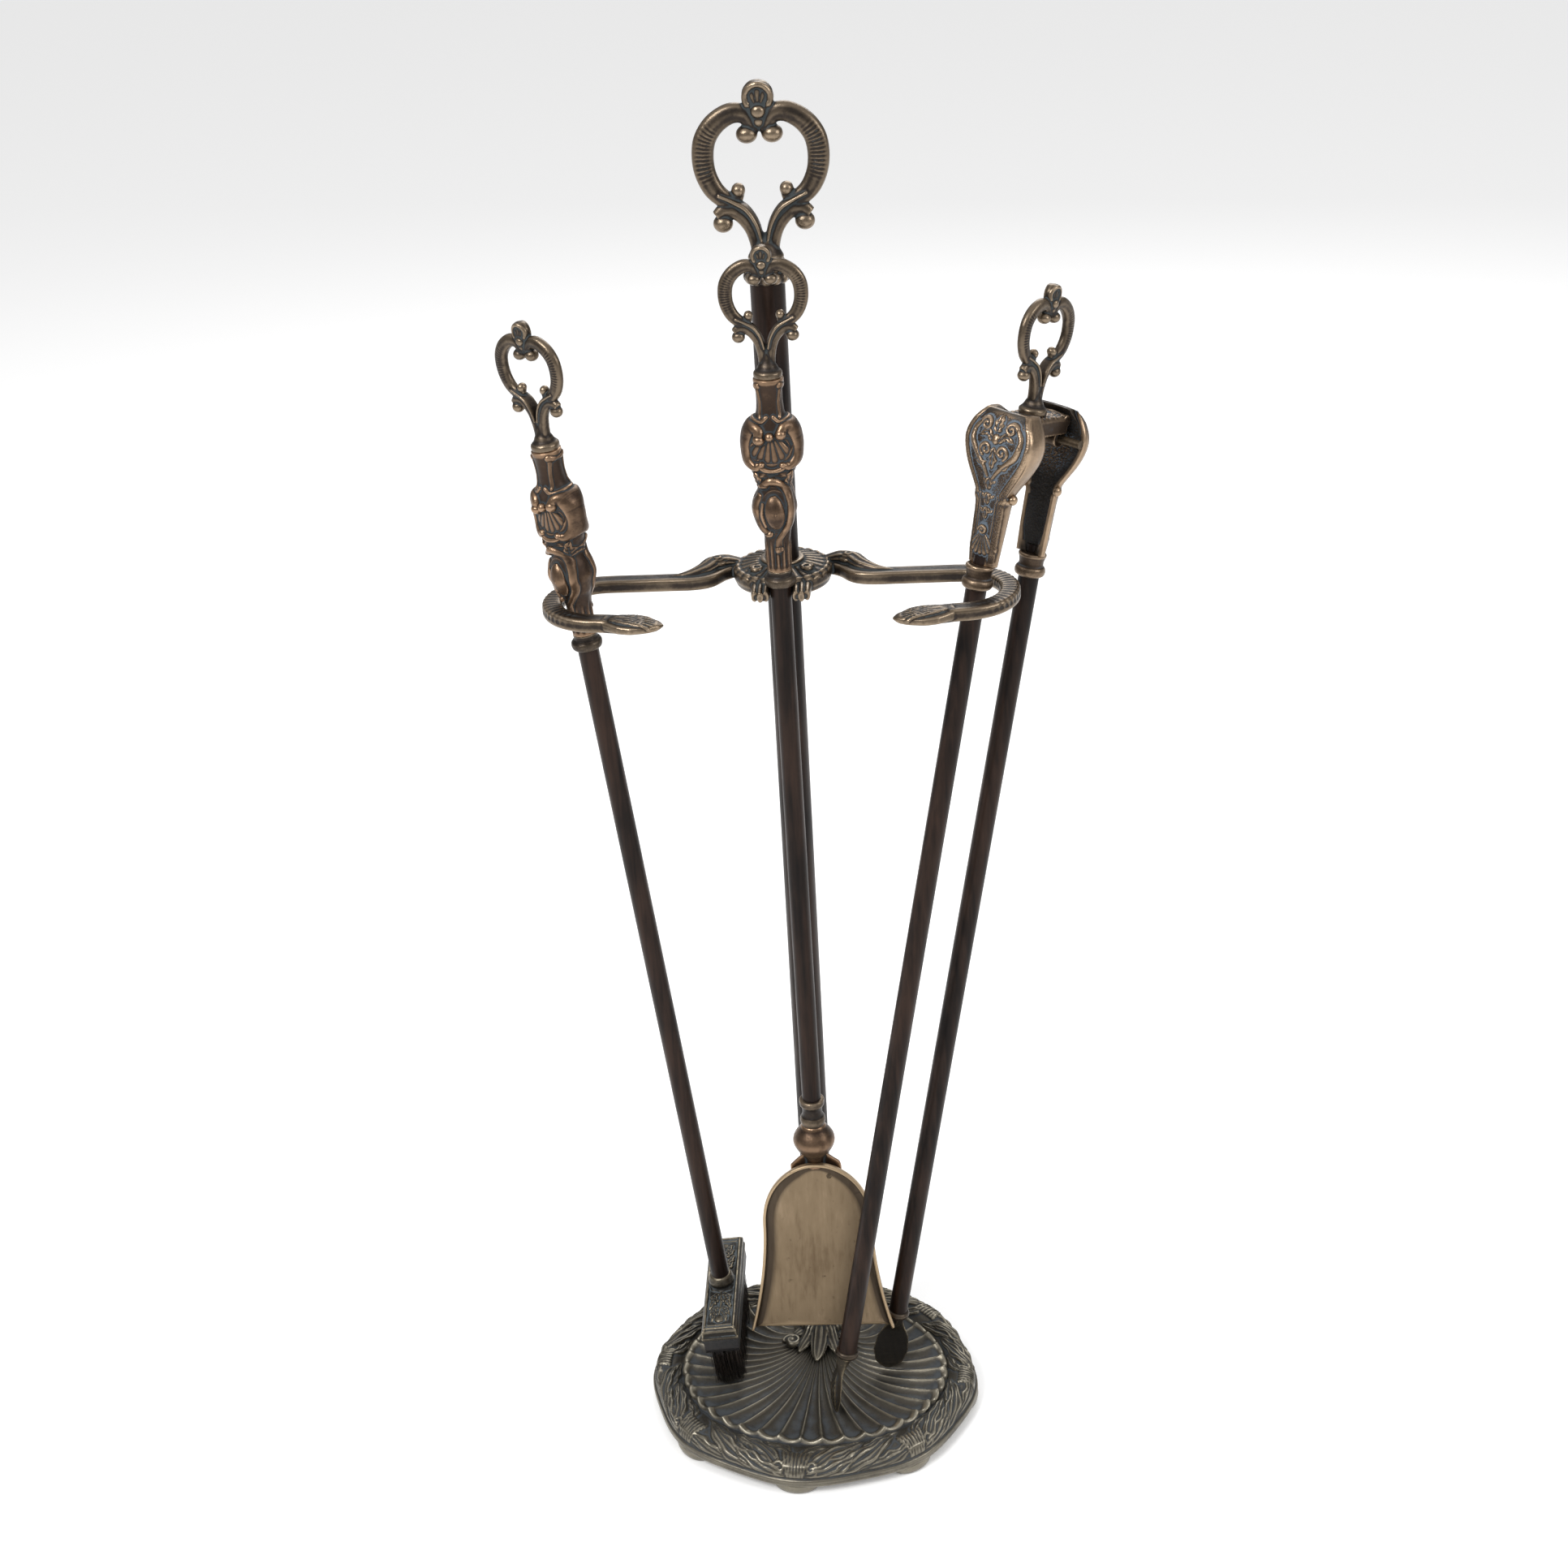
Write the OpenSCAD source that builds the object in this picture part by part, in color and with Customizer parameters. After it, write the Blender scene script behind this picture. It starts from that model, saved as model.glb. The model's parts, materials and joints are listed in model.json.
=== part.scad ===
// Brass fireplace tool set: an oval shell base, a post with a two-hook hanger,
// a hearth brush, a shovel and a pair of tongs.
// Origin: centre of the base outline, on the floor. +X right, +Y back, +Z up.

/* [Base] */
// Width of the oval base
base_w = 179; // [160:1:200]
// Depth of the oval base
base_d = 160; // [150:1:180]
// Height of the top of the base's rim
rim_h = 18; // [16:0.5:22]
// Height of the shell floor at its centre
dish_h = 10; // [9:0.5:12]
// Turn of the base about the post
base_turn = -6; // [-10:1:10]

/* [Post] */
// Distance from the base's centre back to the post
post_back = 41.6; // [36:0.2:46]
// Diameter of the post tube
post_dia = 16; // [14:0.5:18]
// Height of the whole set
total_h = 700; // [660:5:740]

/* [Hanger] */
// Height of the hanger's top face
hanger_h = 474; // [450:1:490]
// Width of a hanger bar, seen from above
bar_w = 9.6; // [8:0.2:11]
// Height of a hanger bar
bar_h = 6.6; // [5:0.2:8]
// Distance from the post to the centre of a hook
hook_out = 83; // [78:1:90]
// Distance from the post forward to the centre of a hook
hook_fwd = 33; // [30:1:36]
// Radius of a hook, to the middle of the bar
hook_r = 24; // [22:0.5:26]

/* [Tools] */
// Diameter of the tool rods
rod_dia = 10; // [8:0.5:10]
// Length of a grip, from its collar to the loop's foot
grip_len = 100; // [96:1:104]
// Distance from the post forward to the shovel
shovel_fwd = 25.9; // [24:0.1:28]
// Place of the brush on the base, left of the base's centre
brush_left = 45; // [40:1:50]
// Place of the brush on the base, behind the base's centre
brush_back = 22.3; // [18:0.5:26]
// Place of the tongs' tips on the base, right of the base's centre
tongs_right = 27.6; // [25:0.2:30]
// Place of the tongs' tips on the base, in front of the base's centre
tongs_fwd = 12.4; // [10:0.2:15]

/* [Brush] */
// Length of the brush head
brush_len = 77; // [70:1:85]
// Width of the brush head
brush_w = 19; // [16:0.5:22]
// Length of the bristles
bristle_len = 30; // [25:1:34]

/* [Shovel] */
// Width of the pan's open edge
pan_w = 78; // [70:1:84]
// Length of the pan
pan_len = 99; // [94:1:110]
// Sideways lean of the shovel where it hangs
shovel_lean = -0.3; // [-1:0.1:1]
// Forward tilt of the pan
pan_tilt = 9.5; // [0:0.5:12]

/* [Tongs] */
// Distance between the tongs' rods
leg_gap = 42; // [40:1:46]
// Turn of the tongs about their own axis
tongs_turn = 50; // [40:1:60]

/* [Hidden] */
$fn = 64;
eps = 0.01;

// colours
aged_brass = [0.47, 0.36, 0.22];
dark_brass = [0.33, 0.26, 0.18];
brown_rod = [0.2, 0.15, 0.13];
pan_brass = [0.58, 0.44, 0.3];
steel = [0.45, 0.45, 0.46];
black = [0.06, 0.06, 0.07];

// where the post stands, from the turn of the base about it
post_x = -post_back * sin(base_turn);
post_y = post_back * cos(base_turn);

// base
foot_count = 8;
foot_h = 4;
foot_r = 8;
foot_spread = 4;
lobe = 0.012;
oval_steps = 96;
dish_shift = 3;
dish_in_x = 16.5;
dish_in_y = 21;
pad_r = 18;
pad_h = dish_h + 2.4;
shell_wall = 4;
boss_r = 13;

// post stack, heights above the floor
post_r = post_dia / 2;
tube_wall = 1.5;
tie_r = 4;
foot_top = 30;
tube_foot = pad_h + 5;
plate_t = 7;
plate_r = 23.5;
handle_scale = 1.515;
loop_len = 60;
loop_neck = 12;
handle_neck_h = total_h - (loop_len - loop_neck) * handle_scale;
collar_h = handle_neck_h - 6;
tube_top = collar_h - 6;
lug_gap = 10.8;
lug_w = 8;
lug_len = 13;

// grip and collar, heights above the collar's underside
collar_len = 8.5;
collar_r = 7.2;
rod_r = rod_dia / 2;
stud_r = 3;
stud_len = 12;

// tools, lengths along their own axes
rest_gap = 0.3;
hook_x = post_x + hook_out;
hook_y = post_y - hook_fwd;

// brush
brush_z = 14.3;
brush_collar_at = 437;
block_h = 8.5;
cover_h = 8;
socket_h = 6;
brush_lean_out = 11.4;
brush_handle_turn = -37;
brush_top = [-hook_out + post_x - brush_lean_out, hook_y - 1.6, hanger_h - bar_h / 2];
brush_foot = [-brush_left, brush_back, brush_z];

// shovel
shovel_z = hanger_h + rest_gap;
ferrule_z = 168;
ferrule_h = 17;
ball_z = 158.6;
ball_r = 11;
pan_top_z = 145;
pan_wall = 1.6;
pan_waist = 29.4;
pan_arch = 0.35;
pan_rim = 7;
tang_t = 3;
rivet_r = 1.5;

// tongs
tongs_z = 15;
tongs_foot = [tongs_right, -tongs_fwd, tongs_z];
tongs_top = [hook_x + 21.6, hook_y + 15.6, hanger_h - 3];
bead_at = 462.5;
bead_h = 12;
arm_at = 474.5;
arm_top = 546;
crown_at = 536.5;
crown_top = 543;
pin_at = 531.5;
pin_out = 17;
pin_r = 2;
pin_fit = 0.05;
pin_len = 36;
arm_wall = 2.5;
claw_len = 35.5;
claw_w = 19.5;
claw_turn = 45;
claw_gap = 0.5;
left_drop = 6;
leg_out = leg_gap / 2;

// The two tilts that turn +Z onto the line from one point to another.
function lean(from, to) = let (d = to - from)
    [-asin(d.y / norm(d)), atan2(d.x, d.z), 0];

// Outline of the base, drawn in at the sides and at the front and back, moved
// back by a shift, with one lobe over each foot.
function oval(in_x, in_y, shift, wave) = [for (i = [0:oval_steps - 1])
    let (
        a = 360 * i / oval_steps,
        swell = 1 + wave * cos(foot_count * a)
    )
    [(base_w / 2 - in_x) * swell * sin(a), shift - (base_d / 2 - in_y) * swell * cos(a)]];

// A closed solid through a stack of outlines, each [in_x, in_y, shift, lobe, height].
module loft(levels) {
    rings = [for (l = levels) for (p = oval(l[0], l[1], l[2], l[3])) [p.x, p.y, l[4]]];
    n = oval_steps;
    top = (len(levels) - 1) * n;
    sides = [for (k = [0:len(levels) - 2]) for (i = [0:n - 1])
        let (j = (i + 1) % n) each [
            [k * n + i, (k + 1) * n + i, k * n + j],
            [k * n + j, (k + 1) * n + i, (k + 1) * n + j]]];
    polyhedron(
        rings,
        concat(sides, [[for (i = [0:n - 1]) i]], [[for (i = [0:n - 1]) top + n - 1 - i]]),
        convexity = 6
    );
}

// A ring bent from a round bar: part of a circle in the XZ plane.
module bent_bar(centre, radius, bar, start, sweep) {
    translate([centre.x, 0, centre.y])
        rotate([90, 0, 0])
            rotate([0, 0, start])
                rotate_extrude(angle = sweep)
                    translate([radius, 0])
                        circle(bar, $fn = 32);
}

module at_post() {
    translate([post_x, post_y, 0])
        children();
}

module at_base() {
    rotate([0, 0, base_turn])
        children();
}

module at_shovel() {
    translate([post_x, post_y - shovel_fwd, shovel_z])
        rotate([0, shovel_lean, 0])
            translate([0, 0, -shovel_z])
                children();
}

module at_brush() {
    translate(brush_foot)
        rotate(lean(brush_foot, brush_top))
            children();
}

module at_tongs() {
    translate(tongs_foot)
        rotate(lean(tongs_foot, tongs_top))
            rotate([0, 0, tongs_turn])
                children();
}

// One half of the heart-shaped loop. The loop's foot is at z = 0, the tip of
// its finial at loop_len.
module loop_arm() {
    bar = 3.2;
    thin_bar = 3;
    curl_bar = 2.7;
    wide = 17;
    wide_z = 39;
    low_r = 27.6;
    top_r = 11.5;
    curl_r = 3.8;
    top_x = wide - top_r;
    top_z = wide_z + top_r;
    bent_bar([wide - low_r, wide_z], low_r, bar, -61, 61);
    translate([wide, 0, wide_z])
        sphere(bar + 0.3);
    bent_bar([top_x, wide_z], top_r, thin_bar, 0, 90);
    translate([top_x, 0, top_z])
        sphere(thin_bar + 0.3);
    bent_bar([top_x, top_z - curl_r], curl_r, curl_bar, 90, 120);
    translate([2.9, 0, 45.4])
        sphere(3.4);
    translate([11.4, 0, 18.6])
        sphere(3.1);
    translate([7.2, 0, 23.4])
        sphere(1.9);
}

module loop_top() {
    finial_z = 49.6;
    loop_arm();
    mirror([1, 0, 0])
        loop_arm();
    rotate_extrude()
        polygon([[0, 8], [4.4, 8], [4.6, loop_neck], [5.6, 15.5], [4, 19], [0, 19]]);
    translate([0, 0, finial_z - 0.6])
        sphere(3.7);
    translate([0, 0, finial_z])
        rotate_extrude()
            polygon([
                [0, 0], [3.6, 0], [4.7, 3.4], [4.2, 6.4], [2.4, 9],
                [0.8, loop_len - finial_z], [0, loop_len - finial_z]
            ]);
}

module handle_loop() {
    difference() {
        union() {
            loop_top();
            rotate_extrude()
                polygon([
                    [0, 0], [6.6, 0], [7.2, 1.2], [7.2, 3], [6.2, 4.2],
                    [5, 7], [4.6, 9.5], [0, 9.5]
                ]);
        }
        translate([0, 0, -eps])
            cylinder(r = stud_r, h = stud_len / 2 + eps);
    }
}

// Figured grip: collar stem, cabochon bulb, shell knob and flared neck.
module grip_body() {
    flat = 20.5;
    intersection() {
        rotate_extrude()
            polygon([
                [0, collar_len], [5.7, collar_len], [6, 16], [6.9, 27], [8.6, 31],
                [10.2, 35], [10.6, 39], [9.8, 44], [7.9, 48.5], [7.9, 52],
                [10.6, 55.5], [13.4, 60], [14.6, 66], [14.6, 73], [13.2, 79],
                [10.2, 83.5], [6.8, 86.5], [5.2, 89], [5.2, 91.5], [6, 95],
                [7.4, 98], [7.2, grip_len], [0, grip_len]
            ]);
        translate([-30, -flat / 2, 0])
            cube([60, flat, grip_len + 1]);
    }
}

module grip() {
    difference() {
        grip_body();
        translate([0, 0, grip_len - stud_len / 2])
            cylinder(r = stud_r, h = stud_len);
        translate([0, 0, -eps])
            cylinder(r = rod_r, h = 20);
    }
}

module collar() {
    difference() {
        rotate_extrude()
            polygon([
                [0, 0], [6.4, 0], [collar_r, 1.6], [collar_r, 4.2], [6.4, 5.8],
                [6.2, collar_len], [0, collar_len]
            ]);
        translate([0, 0, -1])
            cylinder(r = rod_r, h = collar_len + 2);
    }
}

module stud() {
    translate([0, 0, grip_len - stud_len / 2])
        cylinder(r = stud_r, h = stud_len);
}

module base_casting() color(aged_brass) at_base() {
    foot_x = base_w / 2 - foot_r;
    foot_y = base_d / 2 - foot_r;
    difference() {
        union() {
            loft([
                [4, 4, 0, lobe, foot_h], [1, 1, 0, lobe, foot_h + 1.5],
                [0, 0, 0, lobe, foot_h + 4], [1.5, 1.5, 0, lobe, rim_h - 6],
                [5, 5, 0, lobe, rim_h - 2.5], [9, 10, 1, 0, rim_h - 0.3],
                [12, 15, 2, 0, rim_h], [14.5, 18.5, dish_shift, 0, rim_h - 1.4],
                [dish_in_x, dish_in_y, dish_shift, 0, dish_h + 3],
                [28, 32, dish_shift, 0, dish_h + 1.6], [50, 50, dish_shift, 0, dish_h + 0.4],
                [75, 66, dish_shift, 0, dish_h]
            ]);
            for (i = [0:foot_count - 1]) {
                a = 360 * i / foot_count;
                translate([foot_x * sin(a), -foot_y * cos(a), 0])
                    rotate([0, 0, a])
                        for (along = [-foot_spread, 0, foot_spread])
                            translate([along, 0, 0])
                                cylinder(r1 = foot_r - 2, r2 = foot_r, h = foot_h + 2);
            }
            translate([0, post_back, dish_h - 2])
                cylinder(r = pad_r, h = pad_h - dish_h + 2);
        }
        difference() {
            translate([0, 0, -eps])
                loft([
                    [14, 14, 0, 0, foot_h - 1], [14, 14, 0, 0, dish_h - shell_wall - 1],
                    [22, 24, dish_shift, 0, dish_h - shell_wall]
                ]);
            translate([0, post_back, 0])
                cylinder(r = boss_r, h = dish_h);
        }
        translate([0, post_back, -1])
            cylinder(r = tie_r + 0.2, h = dish_h + 10);
    }
}

module post_foot() color(aged_brass) at_post() {
    difference() {
        translate([0, 0, pad_h])
            rotate_extrude()
                polygon([
                    [0, 0], [17, 0], [17.5, 1.6], [14, 4.4],
                    [11.5, 9], [11, foot_top - pad_h - 3], [10, foot_top - pad_h],
                    [0, foot_top - pad_h]
                ]);
        translate([0, 0, tube_foot])
            cylinder(r = post_r, h = foot_top);
        cylinder(r = tie_r + 0.2, h = foot_top);
    }
}

module tube(low, high) {
    translate([0, 0, low])
        difference() {
            cylinder(r = post_r, h = high - low);
            translate([0, 0, -1])
                cylinder(r = post_r - tube_wall, h = high - low + 2);
        }
}

module post_lower_tube() color(brown_rod) at_post() {
    tube(tube_foot, hanger_h - plate_t);
}

module post_upper_tube() color(brown_rod) at_post() {
    tube(hanger_h + 2, tube_top);
}

module tie_rod() color(steel) at_post() {
    translate([0, 0, 1])
        cylinder(r = tie_r, h = collar_h);
}

module tie_rod_washer() color(steel) at_post() {
    translate([0, 0, foot_h - 1.4])
        difference() {
            cylinder(r = 10, h = 1.4);
            translate([0, 0, -1])
                cylinder(r = tie_r, h = 4);
        }
}

module tie_rod_nut() color(steel) at_post() {
    translate([0, 0, 0.6])
        difference() {
            cylinder(r = 7.5, h = foot_h - 2, $fn = 6);
            translate([0, 0, -1])
                cylinder(r = tie_r, h = 5);
        }
}

// Half ring of a hook about its own centre, opening towards the post.
module hook_ring() {
    intersection() {
        difference() {
            circle(hook_r + bar_w / 2);
            circle(hook_r - bar_w / 2);
        }
        translate([0, -hook_r - bar_w])
            square([hook_r + bar_w, 2 * (hook_r + bar_w)]);
    }
}

// One arm of the hanger, drawn for the right side about the post.
module hanger_arm() {
    half = bar_w / 2;
    back_y = hook_r - hook_fwd;
    front_y = -hook_fwd - hook_r;
    bend_x = 36;
    tip_x = hook_out - 28;
    translate([bend_x, back_y - half])
        square([hook_out - bend_x, bar_w]);
    translate([hook_out, -hook_fwd])
        hook_ring();
    // leaf at the front end of the hook
    polygon([
        [hook_out, front_y + half], [hook_out, front_y - half],
        [hook_out - 8, front_y - half - 0.6], [hook_out - 15, front_y - half - 4],
        [hook_out - 22, front_y - half - 5.4], [tip_x, front_y - 8],
        [tip_x - 3, front_y - 5.4], [tip_x, front_y - 2],
        [hook_out - 22, front_y + 3.6], [hook_out - 15, front_y + 5.6],
        [hook_out - 8, front_y + half + 0.4]
    ]);
    // S-curve at the arm's root
    polygon([
        [12, 11], [22, 9.5], [31, 3], [bend_x, back_y + half],
        [bend_x, back_y - half], [30, back_y - 3], [20, -8], [12, -11]
    ]);
}

module hanger() color(aged_brass) at_post() {
    plate_z = hanger_h - plate_t;
    difference() {
        union() {
            translate([0, 0, plate_z])
                cylinder(r = plate_r, h = plate_t - 2);
            translate([0, 0, hanger_h - 2])
                cylinder(r1 = plate_r, r2 = plate_r - 8, h = 3);
            for (side = [0, 1])
                mirror([side, 0, 0]) {
                    translate([0, 0, hanger_h - bar_h])
                        linear_extrude(bar_h)
                            hanger_arm();
                    translate([lug_gap / 2, -plate_r - 8, plate_z])
                        cube([lug_w, lug_len + 8, plate_t]);
                    translate([32, 2.5, hanger_h - 1])
                        rotate([0, 0, -40])
                            rotate([90, 0, 0])
                                cylinder(r = 4.6, h = 6, center = true);
                }
            translate([0, 0, hanger_h])
                cylinder(r = post_r + 2.5, h = 5);
        }
        translate([0, 0, hanger_h + 2])
            cylinder(r = post_r, h = 10);
        translate([0, 0, plate_z - 1])
            cylinder(r = tie_r + 0.2, h = 20);
        translate([-lug_gap / 2, -plate_r - 20, plate_z - 1])
            cube([lug_gap, 20 + plate_r - shovel_fwd + lug_gap / 2 + 1.5, 20]);
    }
}

module post_collar() color(aged_brass) at_post() {
    difference() {
        translate([0, 0, tube_top - 4])
            rotate_extrude()
                polygon([
                    [0, 0], [9.4, 0], [10.4, 1.6], [10.4, 3.6], [9, 5.4],
                    [9.8, 7.4], [8.2, 10], [0, 10]
                ]);
        translate([0, 0, tube_top - 10])
            cylinder(r = post_r, h = 10);
        cylinder(r = tie_r, h = total_h);
    }
}

module post_handle() color(aged_brass) at_post() {
    difference() {
        translate([0, 0, handle_neck_h - loop_neck * handle_scale])
            scale(handle_scale)
                loop_top();
        cylinder(r = tie_r, h = collar_h + 1);
        translate([-20, -20, 0])
            cube([40, 40, collar_h]);
    }
}

module brush_handle() color(aged_brass) at_brush()
    translate([0, 0, brush_collar_at + grip_len])
        rotate([0, 0, brush_handle_turn])
            handle_loop();

module brush_stud() color(steel) at_brush()
    translate([0, 0, brush_collar_at])
        stud();

module brush_grip() color(aged_brass) at_brush()
    translate([0, 0, brush_collar_at])
        rotate([0, 0, brush_handle_turn])
            grip();

module brush_collar() color(aged_brass) at_brush()
    translate([0, 0, brush_collar_at])
        collar();

module brush_rod() color(brown_rod) at_brush() {
    foot = bristle_len + block_h + 2;
    translate([0, 0, foot])
        cylinder(r = rod_r, h = brush_collar_at + 20 - foot);
}

module brush_socket() color(aged_brass) at_brush()
    translate([0, 0, bristle_len + block_h + cover_h])
        difference() {
            rotate_extrude()
                polygon([[0, -1.5], [8, -1.5], [7.6, 2], [6.8, socket_h], [0, socket_h]]);
            translate([0, 0, -2])
                cylinder(r = rod_r, h = socket_h + 4);
        }

// Outline of the brush head, shrunk all round.
module head_block(height, shrink) {
    translate([-brush_w / 2 + shrink, -brush_len / 2 + shrink, 0])
        cube([brush_w - 2 * shrink, brush_len - 2 * shrink, height]);
}

module brush_cover() color(aged_brass) at_brush()
    translate([0, 0, bristle_len + block_h]) {
        difference() {
            union() {
                head_block(6, 0);
                head_block(cover_h - 1, 2);
                translate([0, 0, 0.5])
                    cylinder(r = 8, h = cover_h - 2);
            }
            translate([0, 0, -eps])
                head_block(4 + eps, 1.6);
            translate([0, 0, -1])
                cylinder(r = rod_r, h = 20);
            translate([0, 0, cover_h - 1.5])
                cylinder(r = 8, h = 6);
            for (end = [-1, 1])
                translate([0, end * brush_len * 0.38, -1])
                    cylinder(r = 1.6, h = 20);
        }
    }

module brush_screws() color(dark_brass) at_brush()
    for (end = [-1, 1])
        translate([0, end * brush_len * 0.38, bristle_len + 2]) {
            cylinder(r = 1.6, h = block_h + cover_h - 3);
            translate([0, 0, block_h + cover_h - 3])
                cylinder(r1 = 3.2, r2 = 2.2, h = 1.2);
        }

module brush_block() color(black) at_brush()
    translate([0, 0, bristle_len])
        difference() {
            union() {
                head_block(block_h, 0);
                head_block(block_h + 4, 1.6);
            }
            translate([0, 0, 2])
                cylinder(r = rod_r, h = 20);
            for (end = [-1, 1])
                translate([0, end * brush_len * 0.38, 2])
                    cylinder(r = 1.6, h = 20);
        }

module brush_bristles() color(black) at_brush() {
    taper = 2.6;
    worn = 17;
    hull() {
        translate([-brush_w / 2 + taper, -brush_len / 2 + taper, 0])
            cube([brush_w - 2 * taper, brush_len - taper - worn, 2]);
        translate([0, 0, bristle_len - 2])
            head_block(2, 1);
    }
}

module shovel_handle() color(aged_brass) at_shovel()
    translate([0, 0, shovel_z + grip_len])
        handle_loop();

module shovel_stud() color(steel) at_shovel()
    translate([0, 0, shovel_z])
        stud();

module shovel_grip() color(aged_brass) at_shovel()
    translate([0, 0, shovel_z])
        grip();

module shovel_collar() color(aged_brass) at_shovel()
    translate([0, 0, shovel_z])
        collar();

module shovel_rod() color(brown_rod) at_shovel()
    translate([0, 0, ball_z + 4])
        cylinder(r = rod_r, h = shovel_z + 20 - ball_z - 4);

module shovel_ferrule() color(aged_brass) at_shovel()
    translate([0, 0, ferrule_z])
        difference() {
            rotate_extrude()
                polygon([
                    [0, 0], [5.8, 0], [6.4, 2], [6.4, 5.6], [5.6, 8], [5.5, 10.4],
                    [6.3, 13], [6.6, ferrule_h], [0, ferrule_h]
                ]);
            translate([0, 0, -1])
                cylinder(r = rod_r, h = ferrule_h + 2);
        }

// Frame of the pan: z runs down the pan, its bowl faces forward.
module at_pan() {
    at_shovel()
        translate([0, 0, pan_top_z])
            rotate([-pan_tilt, 0, 0])
                children();
}

// Half width of the pan at a distance down from its top.
function pan_half(t) = t < pan_arch
    ? pan_waist * sqrt(1 - pow(1 - t / pan_arch, 2.2))
    : pan_waist + (pan_w / 2 - pan_waist) * pow((t - pan_arch) / (1 - pan_arch), 1.9);

function pan_side(inset) = [for (i = [0:24])
    let (t = i / 24) [max(pan_half(t) - inset, 0.5), -inset * (1 - t) - t * pan_len]];

module pan_outline(inset) {
    side = pan_side(inset);
    polygon(concat(side, [for (i = [24:-1:0]) [-side[i].x, side[i].y]]));
}

module shovel_pan() color(pan_brass) at_pan()
    rotate([90, 0, 0])
        difference() {
            union() {
                linear_extrude(pan_wall)
                    pan_outline(0);
                linear_extrude(pan_rim)
                    difference() {
                        pan_outline(0);
                        translate([0, -eps])
                            pan_outline(2.6);
                    }
            }
            for (side = [-1, 1])
                translate([side * 7, -9, -1])
                    cylinder(r = rivet_r, h = 10);
        }

module shovel_knuckle() color(aged_brass)
    difference() {
        union() {
            at_shovel() {
                translate([0, 0, ball_z])
                    sphere(ball_r);
                translate([0, 0, ball_z + 6])
                    cylinder(r = 6.6, h = ferrule_z - ball_z - 6);
                translate([0, 0, pan_top_z - 3])
                    cylinder(r = 6, h = 8);
            }
            at_pan()
                rotate([-90, 0, 0])
                    linear_extrude(tang_t)
                        polygon([
                            [-6, -1], [6, -1], [11, 4], [12, 13],
                            [4, 18], [-4, 18], [-12, 13], [-11, 4]
                        ]);
        }
        at_shovel() {
            translate([0, 0, ball_z + 4])
                cylinder(r = rod_r, h = 40);
            translate([0, 0, ferrule_z])
                cylinder(r = ball_r, h = ball_r);
        }
        at_pan()
            translate([-20, -20, -40])
                cube([40, 20, 40]);
        at_pan()
            pan_rivets_at()
                cylinder(r = rivet_r, h = 10, center = true);
    }

// The two rivet places, with their axes through the pan.
module pan_rivets_at() {
    for (side = [-1, 1])
        translate([side * 7, 0, -9])
            rotate([90, 0, 0])
                children();
}

module shovel_rivets() color(dark_brass) at_pan()
    pan_rivets_at() {
        translate([0, 0, -tang_t])
            cylinder(r = rivet_r, h = tang_t + pan_wall);
        translate([0, 0, -tang_t - 1.2])
            cylinder(r1 = 1.4, r2 = 2.6, h = 1.2);
    }

module tongs_handle() color(aged_brass) at_tongs()
    translate([0, 0, crown_top])
        handle_loop();

module tongs_stud() color(steel) at_tongs()
    translate([0, 0, crown_top - 5])
        cylinder(r = stud_r, h = stud_len - 1);

module tongs_crown() color(aged_brass) at_tongs() {
    half = 11;
    lug = 6;
    difference() {
        union() {
            rotate([90, 0, 0])
                linear_extrude(2 * half, center = true)
                    polygon([
                        [-17, crown_at], [-12.5, crown_at - 2], [0, crown_at - 1],
                        [12.5, crown_at - 2], [17, crown_at], [17, crown_top - 3],
                        [10, crown_top], [-10, crown_top], [-17, crown_top - 3]
                    ]);
            for (side = [-1, 1])
                translate([side * pin_out, 0, pin_at])
                    rotate([90, 0, 0]) {
                        cylinder(r = 4.4, h = 2 * lug, center = true);
                        translate([-side - 3.4, 0, -lug])
                            cube([6.8, crown_top - 4 - pin_at, 2 * lug]);
                    }
        }
        for (side = [-1, 1])
            translate([side * pin_out, 0, pin_at])
                rotate([90, 0, 0])
                    cylinder(r = pin_r, h = 60, center = true);
        translate([0, 0, crown_top - 5])
            cylinder(r = stud_r, h = 10);
    }
}

// Half width of a tong arm at a height above its foot, from 0 to 1.
function arm_half(t) = t < 0.45
    ? 7.5 + 2 * t
    : t < 0.8
        ? 8.4 + 10 * pow(sin(90 * (t - 0.45) / 0.35), 1.3)
        : 11.5 + 6.9 * cos(90 * (t - 0.8) / 0.2);

function arm_side(inset) = [for (i = [0:32])
    let (t = i / 32) [arm_half(t) - inset, inset + t * (arm_top - arm_at - 2 * inset)]];

module arm_outline(inset) {
    side = arm_side(inset);
    polygon(concat(side, [for (i = [32:-1:0]) [-side[i].x, side[i].y]]));
}

// Outline of an arm seen from its edge, growing outward with the inset.
module arm_edge(inset) {
    h = arm_top - arm_at;
    polygon([
        [leg_out - 4, 0], [leg_out + 3 - inset, 0], [leg_out + 3.4 - inset, h * 0.35],
        [leg_out + 5.6 - inset, h * 0.62], [leg_out + 5.6 - inset, h * 0.8],
        [leg_out + 3.4 - inset, h * 0.93], [leg_out - inset, h], [leg_out - 10, h],
        [leg_out - 7.5, h * 0.82], [leg_out - 6, h * 0.6], [leg_out - 5, h * 0.3]
    ]);
}

module arm_solid(inset) {
    intersection() {
        rotate([90, 0, 0])
            linear_extrude(60, center = true)
                arm_edge(inset);
        rotate([90, 0, 90])
            linear_extrude(60)
                arm_outline(inset);
    }
}

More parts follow.
